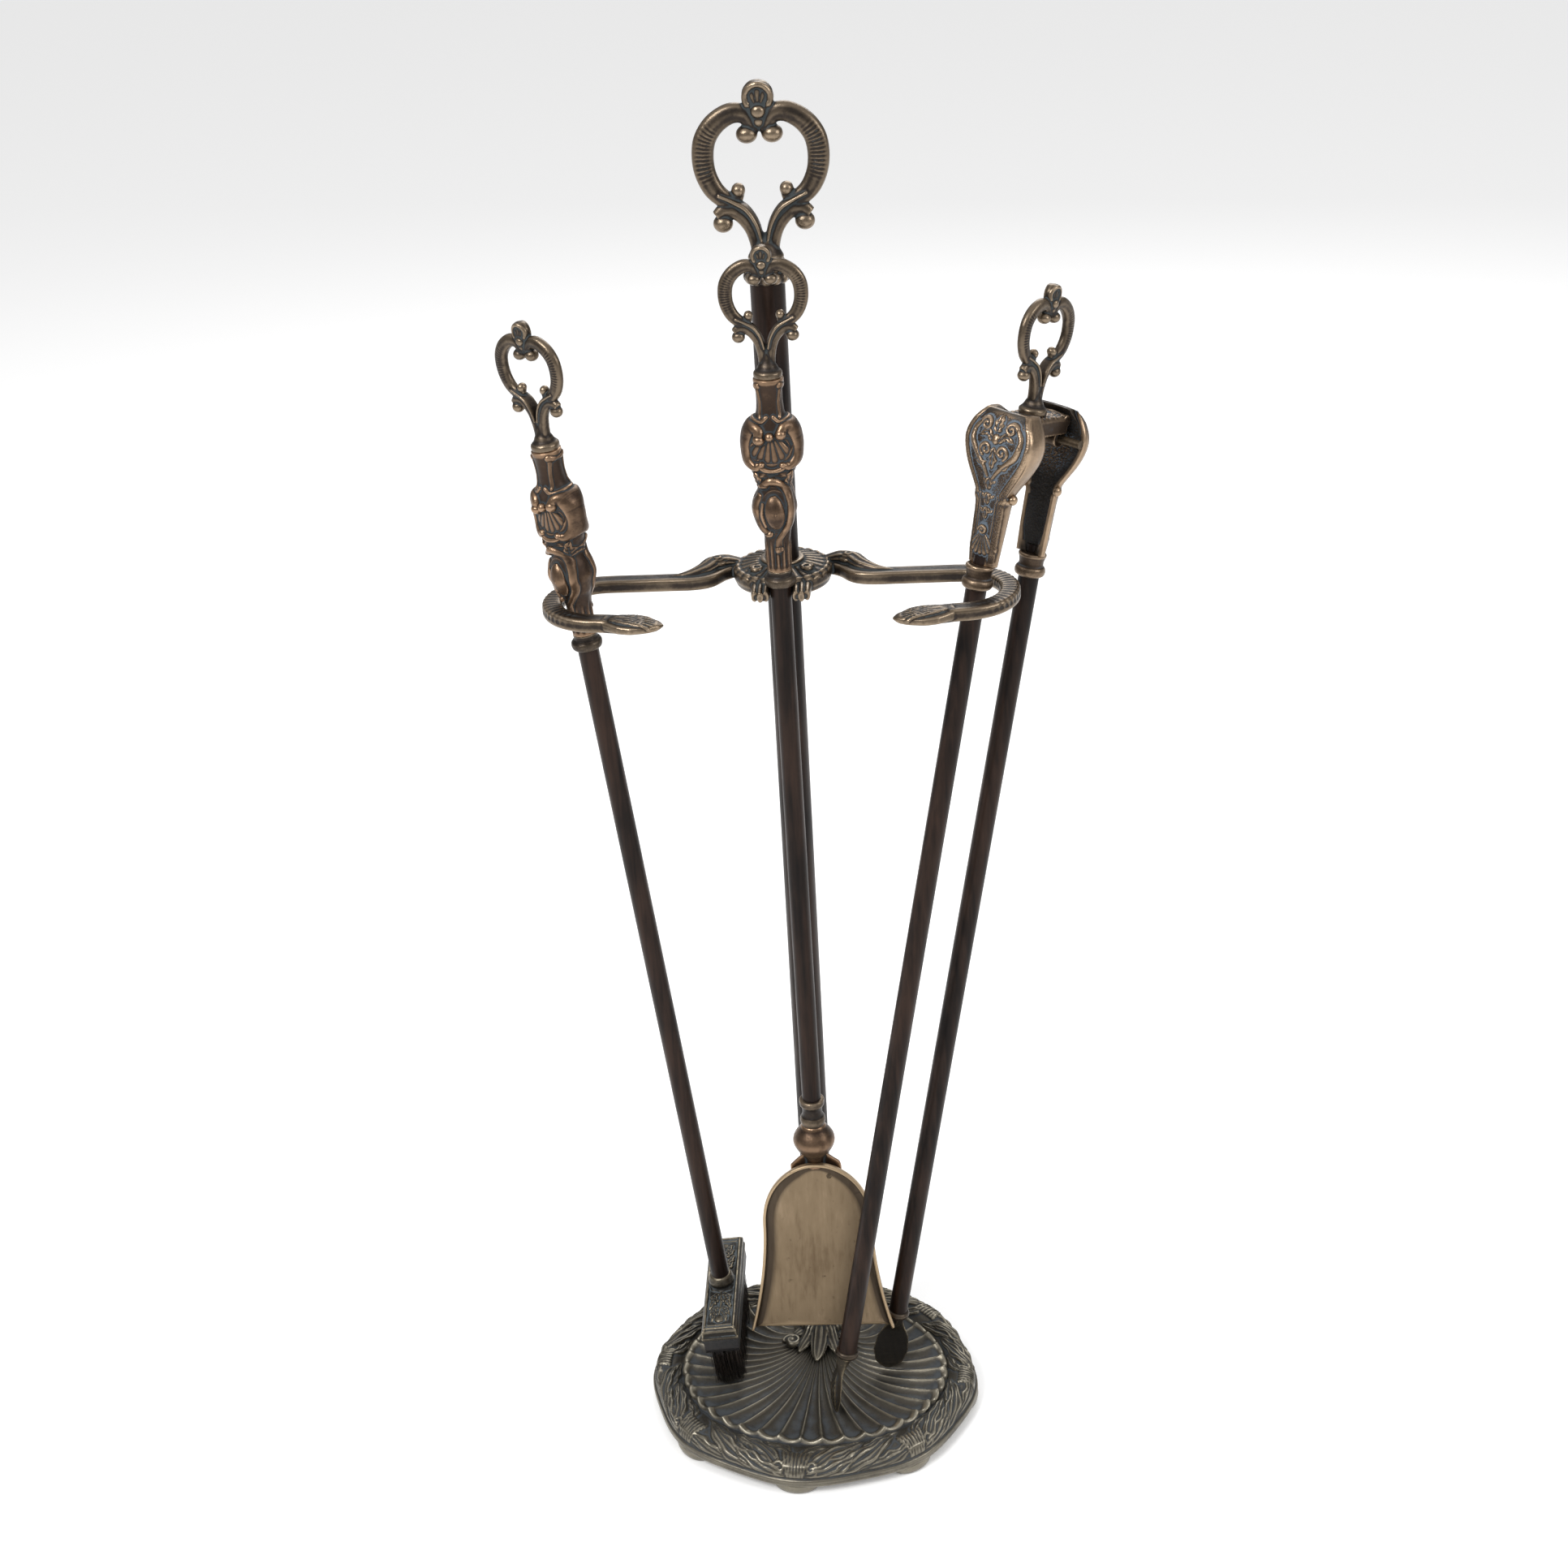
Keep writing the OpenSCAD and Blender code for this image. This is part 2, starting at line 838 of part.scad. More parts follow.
module tong_arm() {
    translate([0, 0, arm_at])
        difference() {
            arm_solid(0);
            difference() {
                arm_solid(arm_wall);
                translate([0, -20, 0])
                    cube([60, 40, 6]);
            }
            translate([leg_out - 12, -13, pin_at - arm_at - 6.5])
                cube([12.5, 26, 40]);
            translate([pin_out, 0, pin_at - arm_at])
                rotate([90, 0, 0])
                    cylinder(r = pin_r + pin_fit, h = 60, center = true);
            translate([leg_out, 0, -1])
                cylinder(r = rod_r - 1.5, h = 6);
        }
}

module tong_bead() {
    translate([leg_out, 0, bead_at])
        difference() {
            rotate_extrude()
                polygon([
                    [0, 0], [6, 0], [7.3, 1.6], [7.3, 4.4], [6.2, 6], [6.2, bead_h], [0, bead_h]
                ]);
            translate([0, 0, -1])
                cylinder(r = rod_r, h = bead_h - 1);
            translate([0, 0, bead_h - 3])
                cylinder(r = rod_r - 1.5, h = 4);
        }
}

// drop is how much further down a leg reaches than the right one.
module tong_rod(drop) {
    low = claw_len - drop;
    translate([leg_out, 0, low])
        cylinder(r = rod_r, h = bead_at + bead_h - 2 - low);
    translate([leg_out, 0, bead_at + bead_h - 2 - eps])
        cylinder(r = rod_r - 1.5, h = 6);
}

module tong_collar(drop) {
    translate([leg_out, 0, claw_len + claw_gap - drop])
        difference() {
            rotate_extrude()
                polygon([[0, 0], [5.6, 0], [6.2, 1], [6.2, 3], [5.6, 4], [0, 4]]);
            translate([0, 0, -1])
                cylinder(r = rod_r, h = 6);
        }
}

// Leaf claw: a thin scoop, turned about its rod from facing the other leg.
module tong_claw(drop) {
    scoop = 34;
    skin = 2.4;
    bulge = 3;
    root = 10;
    translate([leg_out, 0, -drop])
        rotate([0, 0, claw_turn]) {
            translate([0, 0, claw_len - root])
                cylinder(r1 = 1.5, r2 = rod_r, h = root);
            intersection() {
                translate([bulge - scoop, 0, claw_len / 2])
                    difference() {
                        sphere(scoop);
                        sphere(scoop - skin);
                    }
                rotate([90, 0, 90])
                    linear_extrude(20, center = true)
                        claw_outline();
            }
        }
}

// Leaf outline of a claw, widest below its middle.
module claw_outline() {
    points = 24;
    polygon([for (i = [0:points - 1])
        let (a = 360 * i / points)
        [claw_w / 2 * sin(a) * (1 + 0.15 * cos(a)), claw_len / 2 * (1 - cos(a))]]);
}

module left_side() {
    at_tongs()
        mirror([1, 0, 0])
            children();
}

module right_side() {
    at_tongs()
        children();
}

module tongs_pins() color(dark_brass) at_tongs()
    for (side = [-1, 1])
        translate([side * pin_out, 0, pin_at])
            rotate([90, 0, 0])
                cylinder(r = pin_r, h = pin_len, center = true);

module left_arm() color(aged_brass) left_side() tong_arm();
module left_bead() color(aged_brass) left_side() tong_bead();
module left_rod() color(brown_rod) left_side() tong_rod(left_drop);
module left_collar() color(aged_brass) left_side() tong_collar(left_drop);
module left_claw() color(aged_brass) left_side() tong_claw(left_drop);
module right_arm() color(aged_brass) right_side() tong_arm();
module right_bead() color(aged_brass) right_side() tong_bead();
module right_rod() color(brown_rod) right_side() tong_rod(0);
module right_collar() color(aged_brass) right_side() tong_collar(0);
module right_claw() color(aged_brass) right_side() tong_claw(0);

base_casting();
post_foot();
post_lower_tube();
hanger();
post_upper_tube();
post_collar();
post_handle();
tie_rod();
tie_rod_washer();
tie_rod_nut();
brush_handle();
brush_stud();
brush_grip();
brush_collar();
brush_rod();
brush_socket();
brush_cover();
brush_screws();
brush_block();
brush_bristles();
shovel_handle();
shovel_stud();
shovel_grip();
shovel_collar();
shovel_rod();
shovel_ferrule();
shovel_knuckle();
shovel_rivets();
shovel_pan();
tongs_handle();
tongs_stud();
tongs_crown();
tongs_pins();
left_arm();
left_bead();
left_rod();
left_collar();
left_claw();
right_arm();
right_bead();
right_rod();
right_collar();
right_claw();
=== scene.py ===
import json
import math

import bpy
import numpy as np
from mathutils import Matrix, Vector


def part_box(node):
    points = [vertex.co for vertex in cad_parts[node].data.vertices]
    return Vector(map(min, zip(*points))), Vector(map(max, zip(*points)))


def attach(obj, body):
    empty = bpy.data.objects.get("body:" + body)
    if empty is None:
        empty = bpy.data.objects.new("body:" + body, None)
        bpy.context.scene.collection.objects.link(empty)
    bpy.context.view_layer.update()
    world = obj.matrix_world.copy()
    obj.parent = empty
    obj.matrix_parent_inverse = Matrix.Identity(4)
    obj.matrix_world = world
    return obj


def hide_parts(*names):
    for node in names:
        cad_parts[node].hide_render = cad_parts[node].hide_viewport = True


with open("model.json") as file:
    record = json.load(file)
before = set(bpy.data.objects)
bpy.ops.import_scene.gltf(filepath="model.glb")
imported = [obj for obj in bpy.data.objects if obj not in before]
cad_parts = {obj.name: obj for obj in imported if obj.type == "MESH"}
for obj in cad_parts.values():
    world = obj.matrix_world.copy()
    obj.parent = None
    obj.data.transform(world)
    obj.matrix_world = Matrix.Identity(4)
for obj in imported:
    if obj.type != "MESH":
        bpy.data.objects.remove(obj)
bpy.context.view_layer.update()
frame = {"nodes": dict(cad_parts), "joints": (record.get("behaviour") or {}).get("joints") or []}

MM = 0.001
RNG = np.random.default_rng(7)
JOINTS = {j["name"]: j for j in frame["joints"]}


# ---------------------------------------------------------------- places

def box_centre(node):
    low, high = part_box(node)
    return np.array((low + high) / 2) * 1000


def placed(origin, turn=Matrix.Identity(3)):
    """A place: its origin in mm and its three axes as columns."""
    return np.array(origin, float), np.array(turn)


def leaning(axis, twist=0.0):
    """The turn that lays +Z along an axis the way the CAD does, after a twist about Z."""
    axis = np.array(axis) / np.linalg.norm(axis)
    tip_x = Matrix.Rotation(-math.asin(axis[1]), 3, "X")
    tip_y = Matrix.Rotation(math.atan2(axis[0], axis[2]), 3, "Y")
    return tip_y @ tip_x @ Matrix.Rotation(twist, 3, "Z")


POST_XY = box_centre("post_lower_tube")[:2]
BASE_TURN = -math.atan2(POST_XY[0], POST_XY[1])
POST_BACK = math.hypot(*POST_XY)
SHOVEL_AXIS = np.array(JOINTS["shovel_lift"]["axis"])
SHOVEL_ROD_LOW, SHOVEL_ROD_HIGH = 162.6, 494.3
SHOVEL_FOOT = box_centre("shovel_rod") - SHOVEL_AXIS * (SHOVEL_ROD_LOW + SHOVEL_ROD_HIGH) / 2
BRUSH_AXIS = np.array(JOINTS["brush_lift"]["axis"])
TONGS_AXIS = np.array(JOINTS["tongs_lift"]["axis"])
HINGE = np.array(JOINTS["tongs_hinge"]["pos_m"]) * 1000
HINGE_AXIS = np.array(JOINTS["tongs_hinge"]["axis"])

BRUSH_ROD_LOW, BRUSH_ROD_HIGH = 40.5, 457.0
BRUSH_FOOT = box_centre("brush_rod") - BRUSH_AXIS * (BRUSH_ROD_LOW + BRUSH_ROD_HIGH) / 2
PIN_UP, PIN_OUT = 531.5, 17.0
TONGS_U = np.cross(HINGE_AXIS, TONGS_AXIS)
TONGS_FOOT = HINGE + TONGS_U * PIN_OUT - TONGS_AXIS * PIN_UP
BRUSH_HANDLE_TURN = math.radians(-37)

GRIP_FOOT = {"brush": 437.0, "shovel": 474.3}
POST = placed((POST_XY[0], POST_XY[1], 0))
BASE = placed((0, 0, 0), Matrix.Rotation(BASE_TURN, 3, "Z"))
SHOVEL = placed(SHOVEL_FOOT, leaning(SHOVEL_AXIS))
BRUSH = placed(BRUSH_FOOT, leaning(BRUSH_AXIS))
TONGS = placed(TONGS_FOOT, np.column_stack([TONGS_U, HINGE_AXIS, TONGS_AXIS]))


def inside(place, origin=(0, 0, 0), turn=Matrix.Identity(3)):
    """A place given inside another place."""
    base, axes = place
    return base + axes @ np.array(origin, float), axes @ np.array(turn)


def at(place, points):
    """Points of a place, in the row frame."""
    base, axes = place
    return points.reshape(-1, 3) @ axes.T + base


# ---------------------------------------------------------------- shapes

class Shape:
    """Points and faces in mm, gathered from several parts."""

    def __init__(self):
        self.points, self.quads, self.tris, self.count = [], [], [], 0

    def add(self, points, quads=(), tris=()):
        quads, tris = np.array(quads, int).reshape(-1, 4), np.array(tris, int).reshape(-1, 3)
        self.points.append(np.array(points, float).reshape(-1, 3))
        self.quads.append(quads + self.count)
        self.tris.append(tris + self.count)
        self.count += len(self.points[-1])
        return self

    def shifted(self, by):
        self.points = [p + np.array(by, float) for p in self.points]
        return self

    def join(self, other, mirror_x=False):
        """Adds another shape, mirrored in its own X if asked."""
        for p, q, t in zip(other.points, other.quads, other.tris):
            self.points.append(p * ((-1, 1, 1) if mirror_x else (1, 1, 1)))
            self.quads.append((q[:, ::-1] if mirror_x else q) + self.count)
            self.tris.append((t[:, ::-1] if mirror_x else t) + self.count)
        self.count += other.count
        return self

    def arrays(self):
        return np.vstack(self.points), np.vstack(self.quads), np.vstack(self.tris)


def grid_faces(rows, cols, wrap):
    """Quads of a grid of points, closed along its columns if wrap."""
    i = np.arange(rows - 1)[:, None]
    j = np.arange(cols if wrap else cols - 1)[None, :]
    k = (j + 1) % cols
    return np.stack(np.broadcast_arrays(
        i * cols + j, i * cols + k, (i + 1) * cols + k, (i + 1) * cols + j), -1).reshape(-1, 4)


def tube_shape(rings):
    """A closed solid through a stack of rings of points, its faces turned outwards."""
    rings = np.asarray(rings, float)
    n, m = rings.shape[:2]
    points = np.vstack([rings.reshape(-1, 3), rings[0].mean(0), rings[-1].mean(0)])
    j = np.arange(m)
    k = (j + 1) % m
    tris = np.vstack([
        np.column_stack([np.full(m, n * m), k, j]),
        np.column_stack([np.full(m, n * m + 1), (n - 1) * m + j, (n - 1) * m + k])])
    quads = grid_faces(n, m, True)
    middle = points.mean(0)
    a, b, c, d = (points[quads[:, i]] - middle for i in range(4))
    if (a * np.cross(b, c) + a * np.cross(c, d)).sum() < 0:
        quads, tris = quads[:, ::-1], tris[:, ::-1]
    return Shape().add(points, quads, tris)


def smooth_line(points, count):
    """A smooth curve of that many points through a few given ones."""
    points = np.array(points, float)
    step = np.linalg.norm(np.diff(points, axis=0), axis=1)
    at_knot = np.concatenate([[0], np.cumsum(np.sqrt(step))])
    ends = np.vstack([2 * points[0] - points[1], points, 2 * points[-1] - points[-2]])
    t = np.linspace(0, at_knot[-1], count)
    k = np.clip(np.searchsorted(at_knot, t, side="right") - 1, 0, len(points) - 2)
    s = ((t - at_knot[k]) / (at_knot[k + 1] - at_knot[k]))[:, None]
    p0, p1, p2, p3 = ends[k], ends[k + 1], ends[k + 2], ends[k + 3]
    return 0.5 * (2 * p1 + (p2 - p0) * s + (2 * p0 - 5 * p1 + 4 * p2 - p3) * s ** 2
                  + (3 * p1 - p0 - 3 * p2 + p3) * s ** 3)


def sweep(line, wide, thick=None, up=(0, 1, 0), around=20, bump=None):
    """A bar along a curve. wide is across the curve, thick is along up; bump swells it."""
    line = np.array(line, float)
    n = len(line)
    wide = np.interp(np.linspace(0, 1, n), np.linspace(0, 1, np.size(wide)), np.ravel(wide))
    thick = wide if thick is None else np.interp(
        np.linspace(0, 1, n), np.linspace(0, 1, np.size(thick)), np.ravel(thick))
    tangent = np.gradient(line, axis=0)
    tangent /= np.linalg.norm(tangent, axis=1)[:, None]
    side = np.cross(np.array(up, float), tangent)
    side /= np.linalg.norm(side, axis=1)[:, None]
    over = np.cross(tangent, side)
    a = np.linspace(0, 2 * math.pi, around, endpoint=False)
    swell = 1 if bump is None else bump(
        np.linspace(0, 1, n)[:, None], np.broadcast_to(a[None, :], (n, around)))
    rings = (line[:, None, :]
             + side[:, None, :] * (wide[:, None] * np.cos(a) * swell)[..., None]
             + over[:, None, :] * (thick[:, None] * np.sin(a) * swell)[..., None])
    return tube_shape(rings)


def spiral(centre, r0, r1, start, turns, count=40, plane="xz"):
    """Points of a spiral from radius r0 to r1 about a centre, in the XZ or XY plane."""
    t = np.linspace(0, 1, count)
    a = math.radians(start) + t * turns * 2 * math.pi
    r = r0 + (r1 - r0) * t
    u, v = centre[0] + r * np.cos(a), centre[1] + r * np.sin(a)
    zero = np.zeros(count)
    return np.column_stack([u, zero, v] if plane == "xz" else [u, v, zero])


def ball(centre, rx, ry=None, rz=None, rows=14, around=24):
    """An egg shape about a centre."""
    ry, rz = ry or rx, rz or rx
    lat = np.linspace(-math.pi / 2 + 0.06, math.pi / 2 - 0.06, rows)[:, None]
    a = np.linspace(0, 2 * math.pi, around, endpoint=False)[None, :]
    rings = np.stack([rx * np.cos(lat) * np.cos(a), ry * np.cos(lat) * np.sin(a),
                      rz * np.sin(lat) + 0 * a], -1)
    return tube_shape(rings + np.array(centre, float))


# ---------------------------------------------------------------- relief stamps
# Each stamp gives a height in mm at the places (A, B), which are mm on a surface.

def near_line(A, B, line, reach):
    """Distance to a flat curve, signed side and place along it (0 to 1), within reach."""
    line = np.asarray(line, float)
    lo, hi = line.min(0) - reach, line.max(0) + reach
    mask = (A > lo[0]) & (A < hi[0]) & (B > lo[1]) & (B < hi[1])
    a, b = A[mask], B[mask]
    best = np.full(a.shape, 1e9)
    side, place = np.zeros(a.shape), np.zeros(a.shape)
    length = np.concatenate([[0], np.cumsum(np.linalg.norm(np.diff(line, axis=0), axis=1))])
    for i in range(len(line) - 1):
        p, d = line[i], line[i + 1] - line[i]
        size = float(d @ d) or 1e-9
        t = np.clip(((a - p[0]) * d[0] + (b - p[1]) * d[1]) / size, 0, 1)
        dx, dy = a - p[0] - t * d[0], b - p[1] - t * d[1]
        dist = dx * dx + dy * dy
        closer = dist < best
        best[closer] = dist[closer]
        side[closer] = np.sign(d[0] * dy - d[1] * dx)[closer]
        place[closer] = (length[i] + t * (length[i + 1] - length[i]))[closer] / length[-1]
    return mask, np.sqrt(best), side, place


def flat_spiral(centre, r0, r1, start, turns, count=30):
    return spiral(centre, r0, r1, start, turns, count)[:, [0, 2]]


def stamp(H, mask, height, rise=0.0):
    """Lays a raised shape on a relief: above what is there where it is proud of it."""
    here = H[mask]
    H[mask] = np.where(height > 0, np.maximum(here, height + rise), here)


def ridge(H, A, B, line, width, height, rise=0.0):
    """A rounded ridge along a curve; width and height may taper."""
    mask, dist, _, t = near_line(A, B, line, np.max(width) + 0.2)
    w = np.interp(t, np.linspace(0, 1, np.size(width)), np.ravel(width))
    h = np.interp(t, np.linspace(0, 1, np.size(height)), np.ravel(height))
    stamp(H, mask, h * np.sqrt(np.clip(1 - (dist / w) ** 2, 0, 1)), rise)


def groove(H, A, B, line, width, depth):
    """A soft groove along a curve."""
    mask, dist, _, t = near_line(A, B, line, 3 * width)
    end = np.clip(np.minimum(t, 1 - t) * 8, 0, 1)
    H[mask] -= depth * end * np.exp(-(dist / width) ** 2)


def leaf(H, A, B, line, width, height, veins=5, lobes=3, rise=0.0, cup=0.3, lines=0):
    """An acanthus leaf along a curve, with a hollow midrib, slanting veins and lobes."""
    mask, dist, side, t = near_line(A, B, line, width + 0.3)
    form = np.sin(math.pi * np.clip(t, 0, 1) ** 0.75) ** 0.7
    form *= 1 + 0.16 * np.cos(2 * math.pi * (lobes * t - 0.35 * side))
    w = np.maximum(width * form, 0.05)
    e = np.clip(dist / w, 0, 1)
    body = np.sqrt(np.clip(1 - e ** 4, 0, 1))
    body *= 1 - cup * np.exp(-(dist / (0.22 * width)) ** 2)
    body *= 1 + 0.16 * np.cos(2 * math.pi * (veins * t - 1.1 * e)) * np.clip(3 * e, 0, 1)
    if lines:
        body *= 1 + 0.24 * np.cos(2 * math.pi * (lines * e + 0.25 * side))
    fade = np.clip(np.minimum(t * 6, (1 - t) * 5), 0, 1) ** 0.5
    stamp(H, mask, np.where(dist < w, height * body * fade, 0), rise)


def dome(H, A, B, centre, ra, rb, height, rise=0.0, turn=0.0, power=0.5):
    """An oval boss."""
    c, s = math.cos(math.radians(turn)), math.sin(math.radians(turn))
    a, b = A - centre[0], B - centre[1]
    q = ((a * c + b * s) / ra) ** 2 + ((b * c - a * s) / rb) ** 2
    mask = q < 1
    stamp(H, mask, height * (1 - q[mask]) ** power, rise)


def fan(H, A, B, hinge, reach, heading, spread, ribs, height, rise=0.0, squash=1.0):
    """A scallop shell: ribs that spread from a hinge, with a scalloped edge."""
    a, b = A - hinge[0], (B - hinge[1]) / squash
    r = np.hypot(a, b)
    ang = (np.degrees(np.arctan2(b, a)) - heading + 180) % 360 - 180
    phase = (ang / spread + 0.5) * ribs
    edge = reach * (0.93 + 0.07 * np.abs(np.sin(math.pi * phase)))
    mask = (np.abs(ang) < spread / 2) & (r < edge)
    q = r[mask] / edge[mask]
    rib = np.abs(np.sin(math.pi * phase[mask])) ** 0.6
    stamp(H, mask, height * (0.35 + 0.65 * rib * q ** 0.4) * (1 - q ** 8) ** 0.5
          * (0.55 + 0.45 * q), rise)


# ---------------------------------------------------------------- meshes

def edge_average(values, edges, degree):
    """Each point's value averaged over its neighbours."""
    out = np.empty_like(values)
    n = len(values)
    for c in range(values.shape[1]):
        out[:, c] = (np.bincount(edges[:, 0], values[edges[:, 1], c], n)
                     + np.bincount(edges[:, 1], values[edges[:, 0], c], n))
    return out / degree


def relief_of(mesh, steps):
    """How far each point stands proud of its smoothed surroundings, in mm."""
    n = len(mesh.vertices)
    points = np.empty(n * 3)
    mesh.vertices.foreach_get("co", points)
    points = points.reshape(-1, 3) * 1000
    normals = np.empty(n * 3)
    mesh.vertices.foreach_get("normal", normals)
    normals = normals.reshape(-1, 3)
    edges = np.empty(len(mesh.edges) * 2, int)
    mesh.edges.foreach_get("vertices", edges)
    edges = edges.reshape(-1, 2)
    degree = np.maximum(np.bincount(edges.ravel(), minlength=n), 1)[:, None]
    smooth, found = points.copy(), []
    for i in range(max(steps)):
        smooth = 0.3 * smooth + 0.7 * edge_average(smooth, edges, degree)
        if i + 1 in steps:
            found.append(((points - smooth) * normals).sum(1))
    return found


def make_mesh(name, points, quads, tris):
    mesh = bpy.data.meshes.new(name)
    loops = np.concatenate([quads.ravel(), tris.ravel()])
    starts = np.concatenate([np.arange(len(quads)) * 4, 4 * len(quads) + np.arange(len(tris)) * 3])
    mesh.vertices.add(len(points))
    mesh.vertices.foreach_set("co", (points * MM).ravel())
    mesh.loops.add(len(loops))
    mesh.loops.foreach_set("vertex_index", loops.astype(np.int32))
    mesh.polygons.add(len(starts))
    mesh.polygons.foreach_set("loop_start", starts.astype(np.int32))
    mesh.update(calc_edges=True)
    mesh.validate()
    mesh.polygons.foreach_set("use_smooth", np.ones(len(mesh.polygons), bool))
    return mesh


def remeshed(obj, voxel):
    """Fuses an object's overlapping parts into one skin."""
    mod = obj.modifiers.new("fuse", "REMESH")
    mod.mode, mod.voxel_size, mod.use_smooth_shade = "VOXEL", voxel * MM, True
    bpy.context.view_layer.update()
    result = bpy.data.meshes.new_from_object(
        obj.evaluated_get(bpy.context.evaluated_depsgraph_get()))
    obj.modifiers.clear()
    old = obj.data
    obj.data = result
    bpy.data.meshes.remove(old)


def mark_relief(mesh, fine, broad, gain=1.0):
    """Stores the fine and the broad relief, so that a material can paint shade and dirt into the
    hollows.
    """
    values = relief_of(mesh, (fine, broad))
    for name, value, scale in zip(("fine", "broad"), values, (0.06, 0.25)):
        layer = mesh.attributes.new(name, "FLOAT", "POINT")
        layer.data.foreach_set("value", np.clip(value * gain / scale, -1, 1))


def mark_shade(obj, place, shade):
    """Stores painted shade: how deep in a hollow each point lies, told by a rule of place and
    normal, for the material to paint near black.
    """
    mesh = obj.data
    co, normal = np.empty(len(mesh.vertices) * 3), np.empty(len(mesh.vertices) * 3)
    mesh.vertices.foreach_get("co", co)
    mesh.vertices.foreach_get("normal", normal)
    base, axes = place
    values = shade((co.reshape(-1, 3) * 1000 - base) @ axes, normal.reshape(-1, 3) @ axes)
    mesh.attributes.new("shade", "FLOAT", "POINT").data.foreach_set("value", values)


def piece(name, shape, place, material, body, nodes=(), voxel=None,
          rounds=1, steps=(4, 24), shade=None):
    """Makes a visible piece from a shape in a place, fused and softened if voxel is given."""
    points, quads, tris = shape.arrays()
    obj = bpy.data.objects.new(name, make_mesh(name, at(place, points), quads, tris))
    bpy.context.scene.collection.objects.link(obj)
    if voxel:
        remeshed(obj, voxel)
        mesh = obj.data
        co = np.empty(len(mesh.vertices) * 3)
        mesh.vertices.foreach_get("co", co)
        edges = np.empty(len(mesh.edges) * 2, int)
        mesh.edges.foreach_get("vertices", edges)
        edges = edges.reshape(-1, 2)
        co = co.reshape(-1, 3)
        degree = np.maximum(np.bincount(edges.ravel(), minlength=len(co)), 1)[:, None]
        for _ in range(rounds):
            co = 0.5 * co + 0.5 * edge_average(co, edges, degree)
        mesh.vertices.foreach_set("co", co.ravel())
        mesh.update()
    obj.data.polygons.foreach_set("use_smooth", np.ones(len(obj.data.polygons), bool))
    obj.data.name = name
    mark_relief(obj.data, *steps)
    if shade:
        mark_shade(obj, place, shade)
    obj.data.materials.clear()
    obj.data.materials.append(material)
    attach(obj, body)
    if nodes:
        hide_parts(*nodes)
    return obj


# ---------------------------------------------------------------- materials

def nodes_of(name):
    material = bpy.data.materials.new(name)
    material.use_nodes = True
    tree = material.node_tree
    shader = next(n for n in tree.nodes if n.type == "BSDF_PRINCIPLED")
    return material, tree, shader


def node(tree, kind, inputs=None, **settings):
    made = tree.nodes.new(kind)
    for key, value in settings.items():
        setattr(made, key, value)
    for key, value in (inputs or {}).items():
        if isinstance(value, bpy.types.NodeSocket):
            tree.links.new(value, made.inputs[key])
        else:
            made.inputs[key].default_value = value
    return made


def noise(tree, scale, detail=4.0, rough=0.55, squeeze=(1, 1, 1), seed=0.0):
    """Noise in the object's own coordinates, in features per metre."""
    coords = node(tree, "ShaderNodeTexCoord").outputs["Object"]
    mapped = node(tree, "ShaderNodeMapping", {"Vector": coords, "Scale": squeeze,
                                              "Location": (seed, seed * 0.7, -seed)})
    return node(tree, "ShaderNodeTexNoise", {
        "Vector": mapped.outputs[0], "Scale": scale, "Detail": detail,
        "Roughness": rough}).outputs["Fac"]


def ramp(tree, value, stops, smooth=True):
    made = node(tree, "ShaderNodeValToRGB", {"Fac": value})
    band = made.color_ramp
    band.interpolation = "EASE" if smooth else "LINEAR"
    while len(band.elements) < len(stops):
        band.elements.new(0.5)
    for element, (place, colour) in zip(band.elements, stops):
        element.position = place
        element.color = (*colour, 1) if len(colour) == 3 else colour
    return made.outputs["Color"]


def grey_ramp(tree, value, stops):
    return ramp(tree, value, [(p, (v, v, v)) for p, v in stops])


def maths(tree, operation, a, b=0.0):
    return node(tree, "ShaderNodeMath", {0: a, 1: b}, operation=operation).outputs[0]


def mixed(tree, factor, a, b, blend="MIX"):
    made = node(tree, "ShaderNodeMix", data_type="RGBA", blend_type=blend)
    for socket, value in ((made.inputs[0], factor), (made.inputs[6], a), (made.inputs[7], b)):
        if isinstance(value, bpy.types.NodeSocket):
            tree.links.new(value, socket)
        else:
            socket.default_value = (*value, 1) if isinstance(value, tuple) else value
    return made.outputs[2]


def attribute(tree, name):
    return node(tree, "ShaderNodeAttribute", attribute_name=name).outputs["Fac"]


def bumped(tree, shader, height, distance, strength=1.0):
    made = node(tree, "ShaderNodeBump", {
        "Height": height, "Distance": distance, "Strength": strength})
    tree.links.new(made.outputs[0], shader.inputs["Normal"])


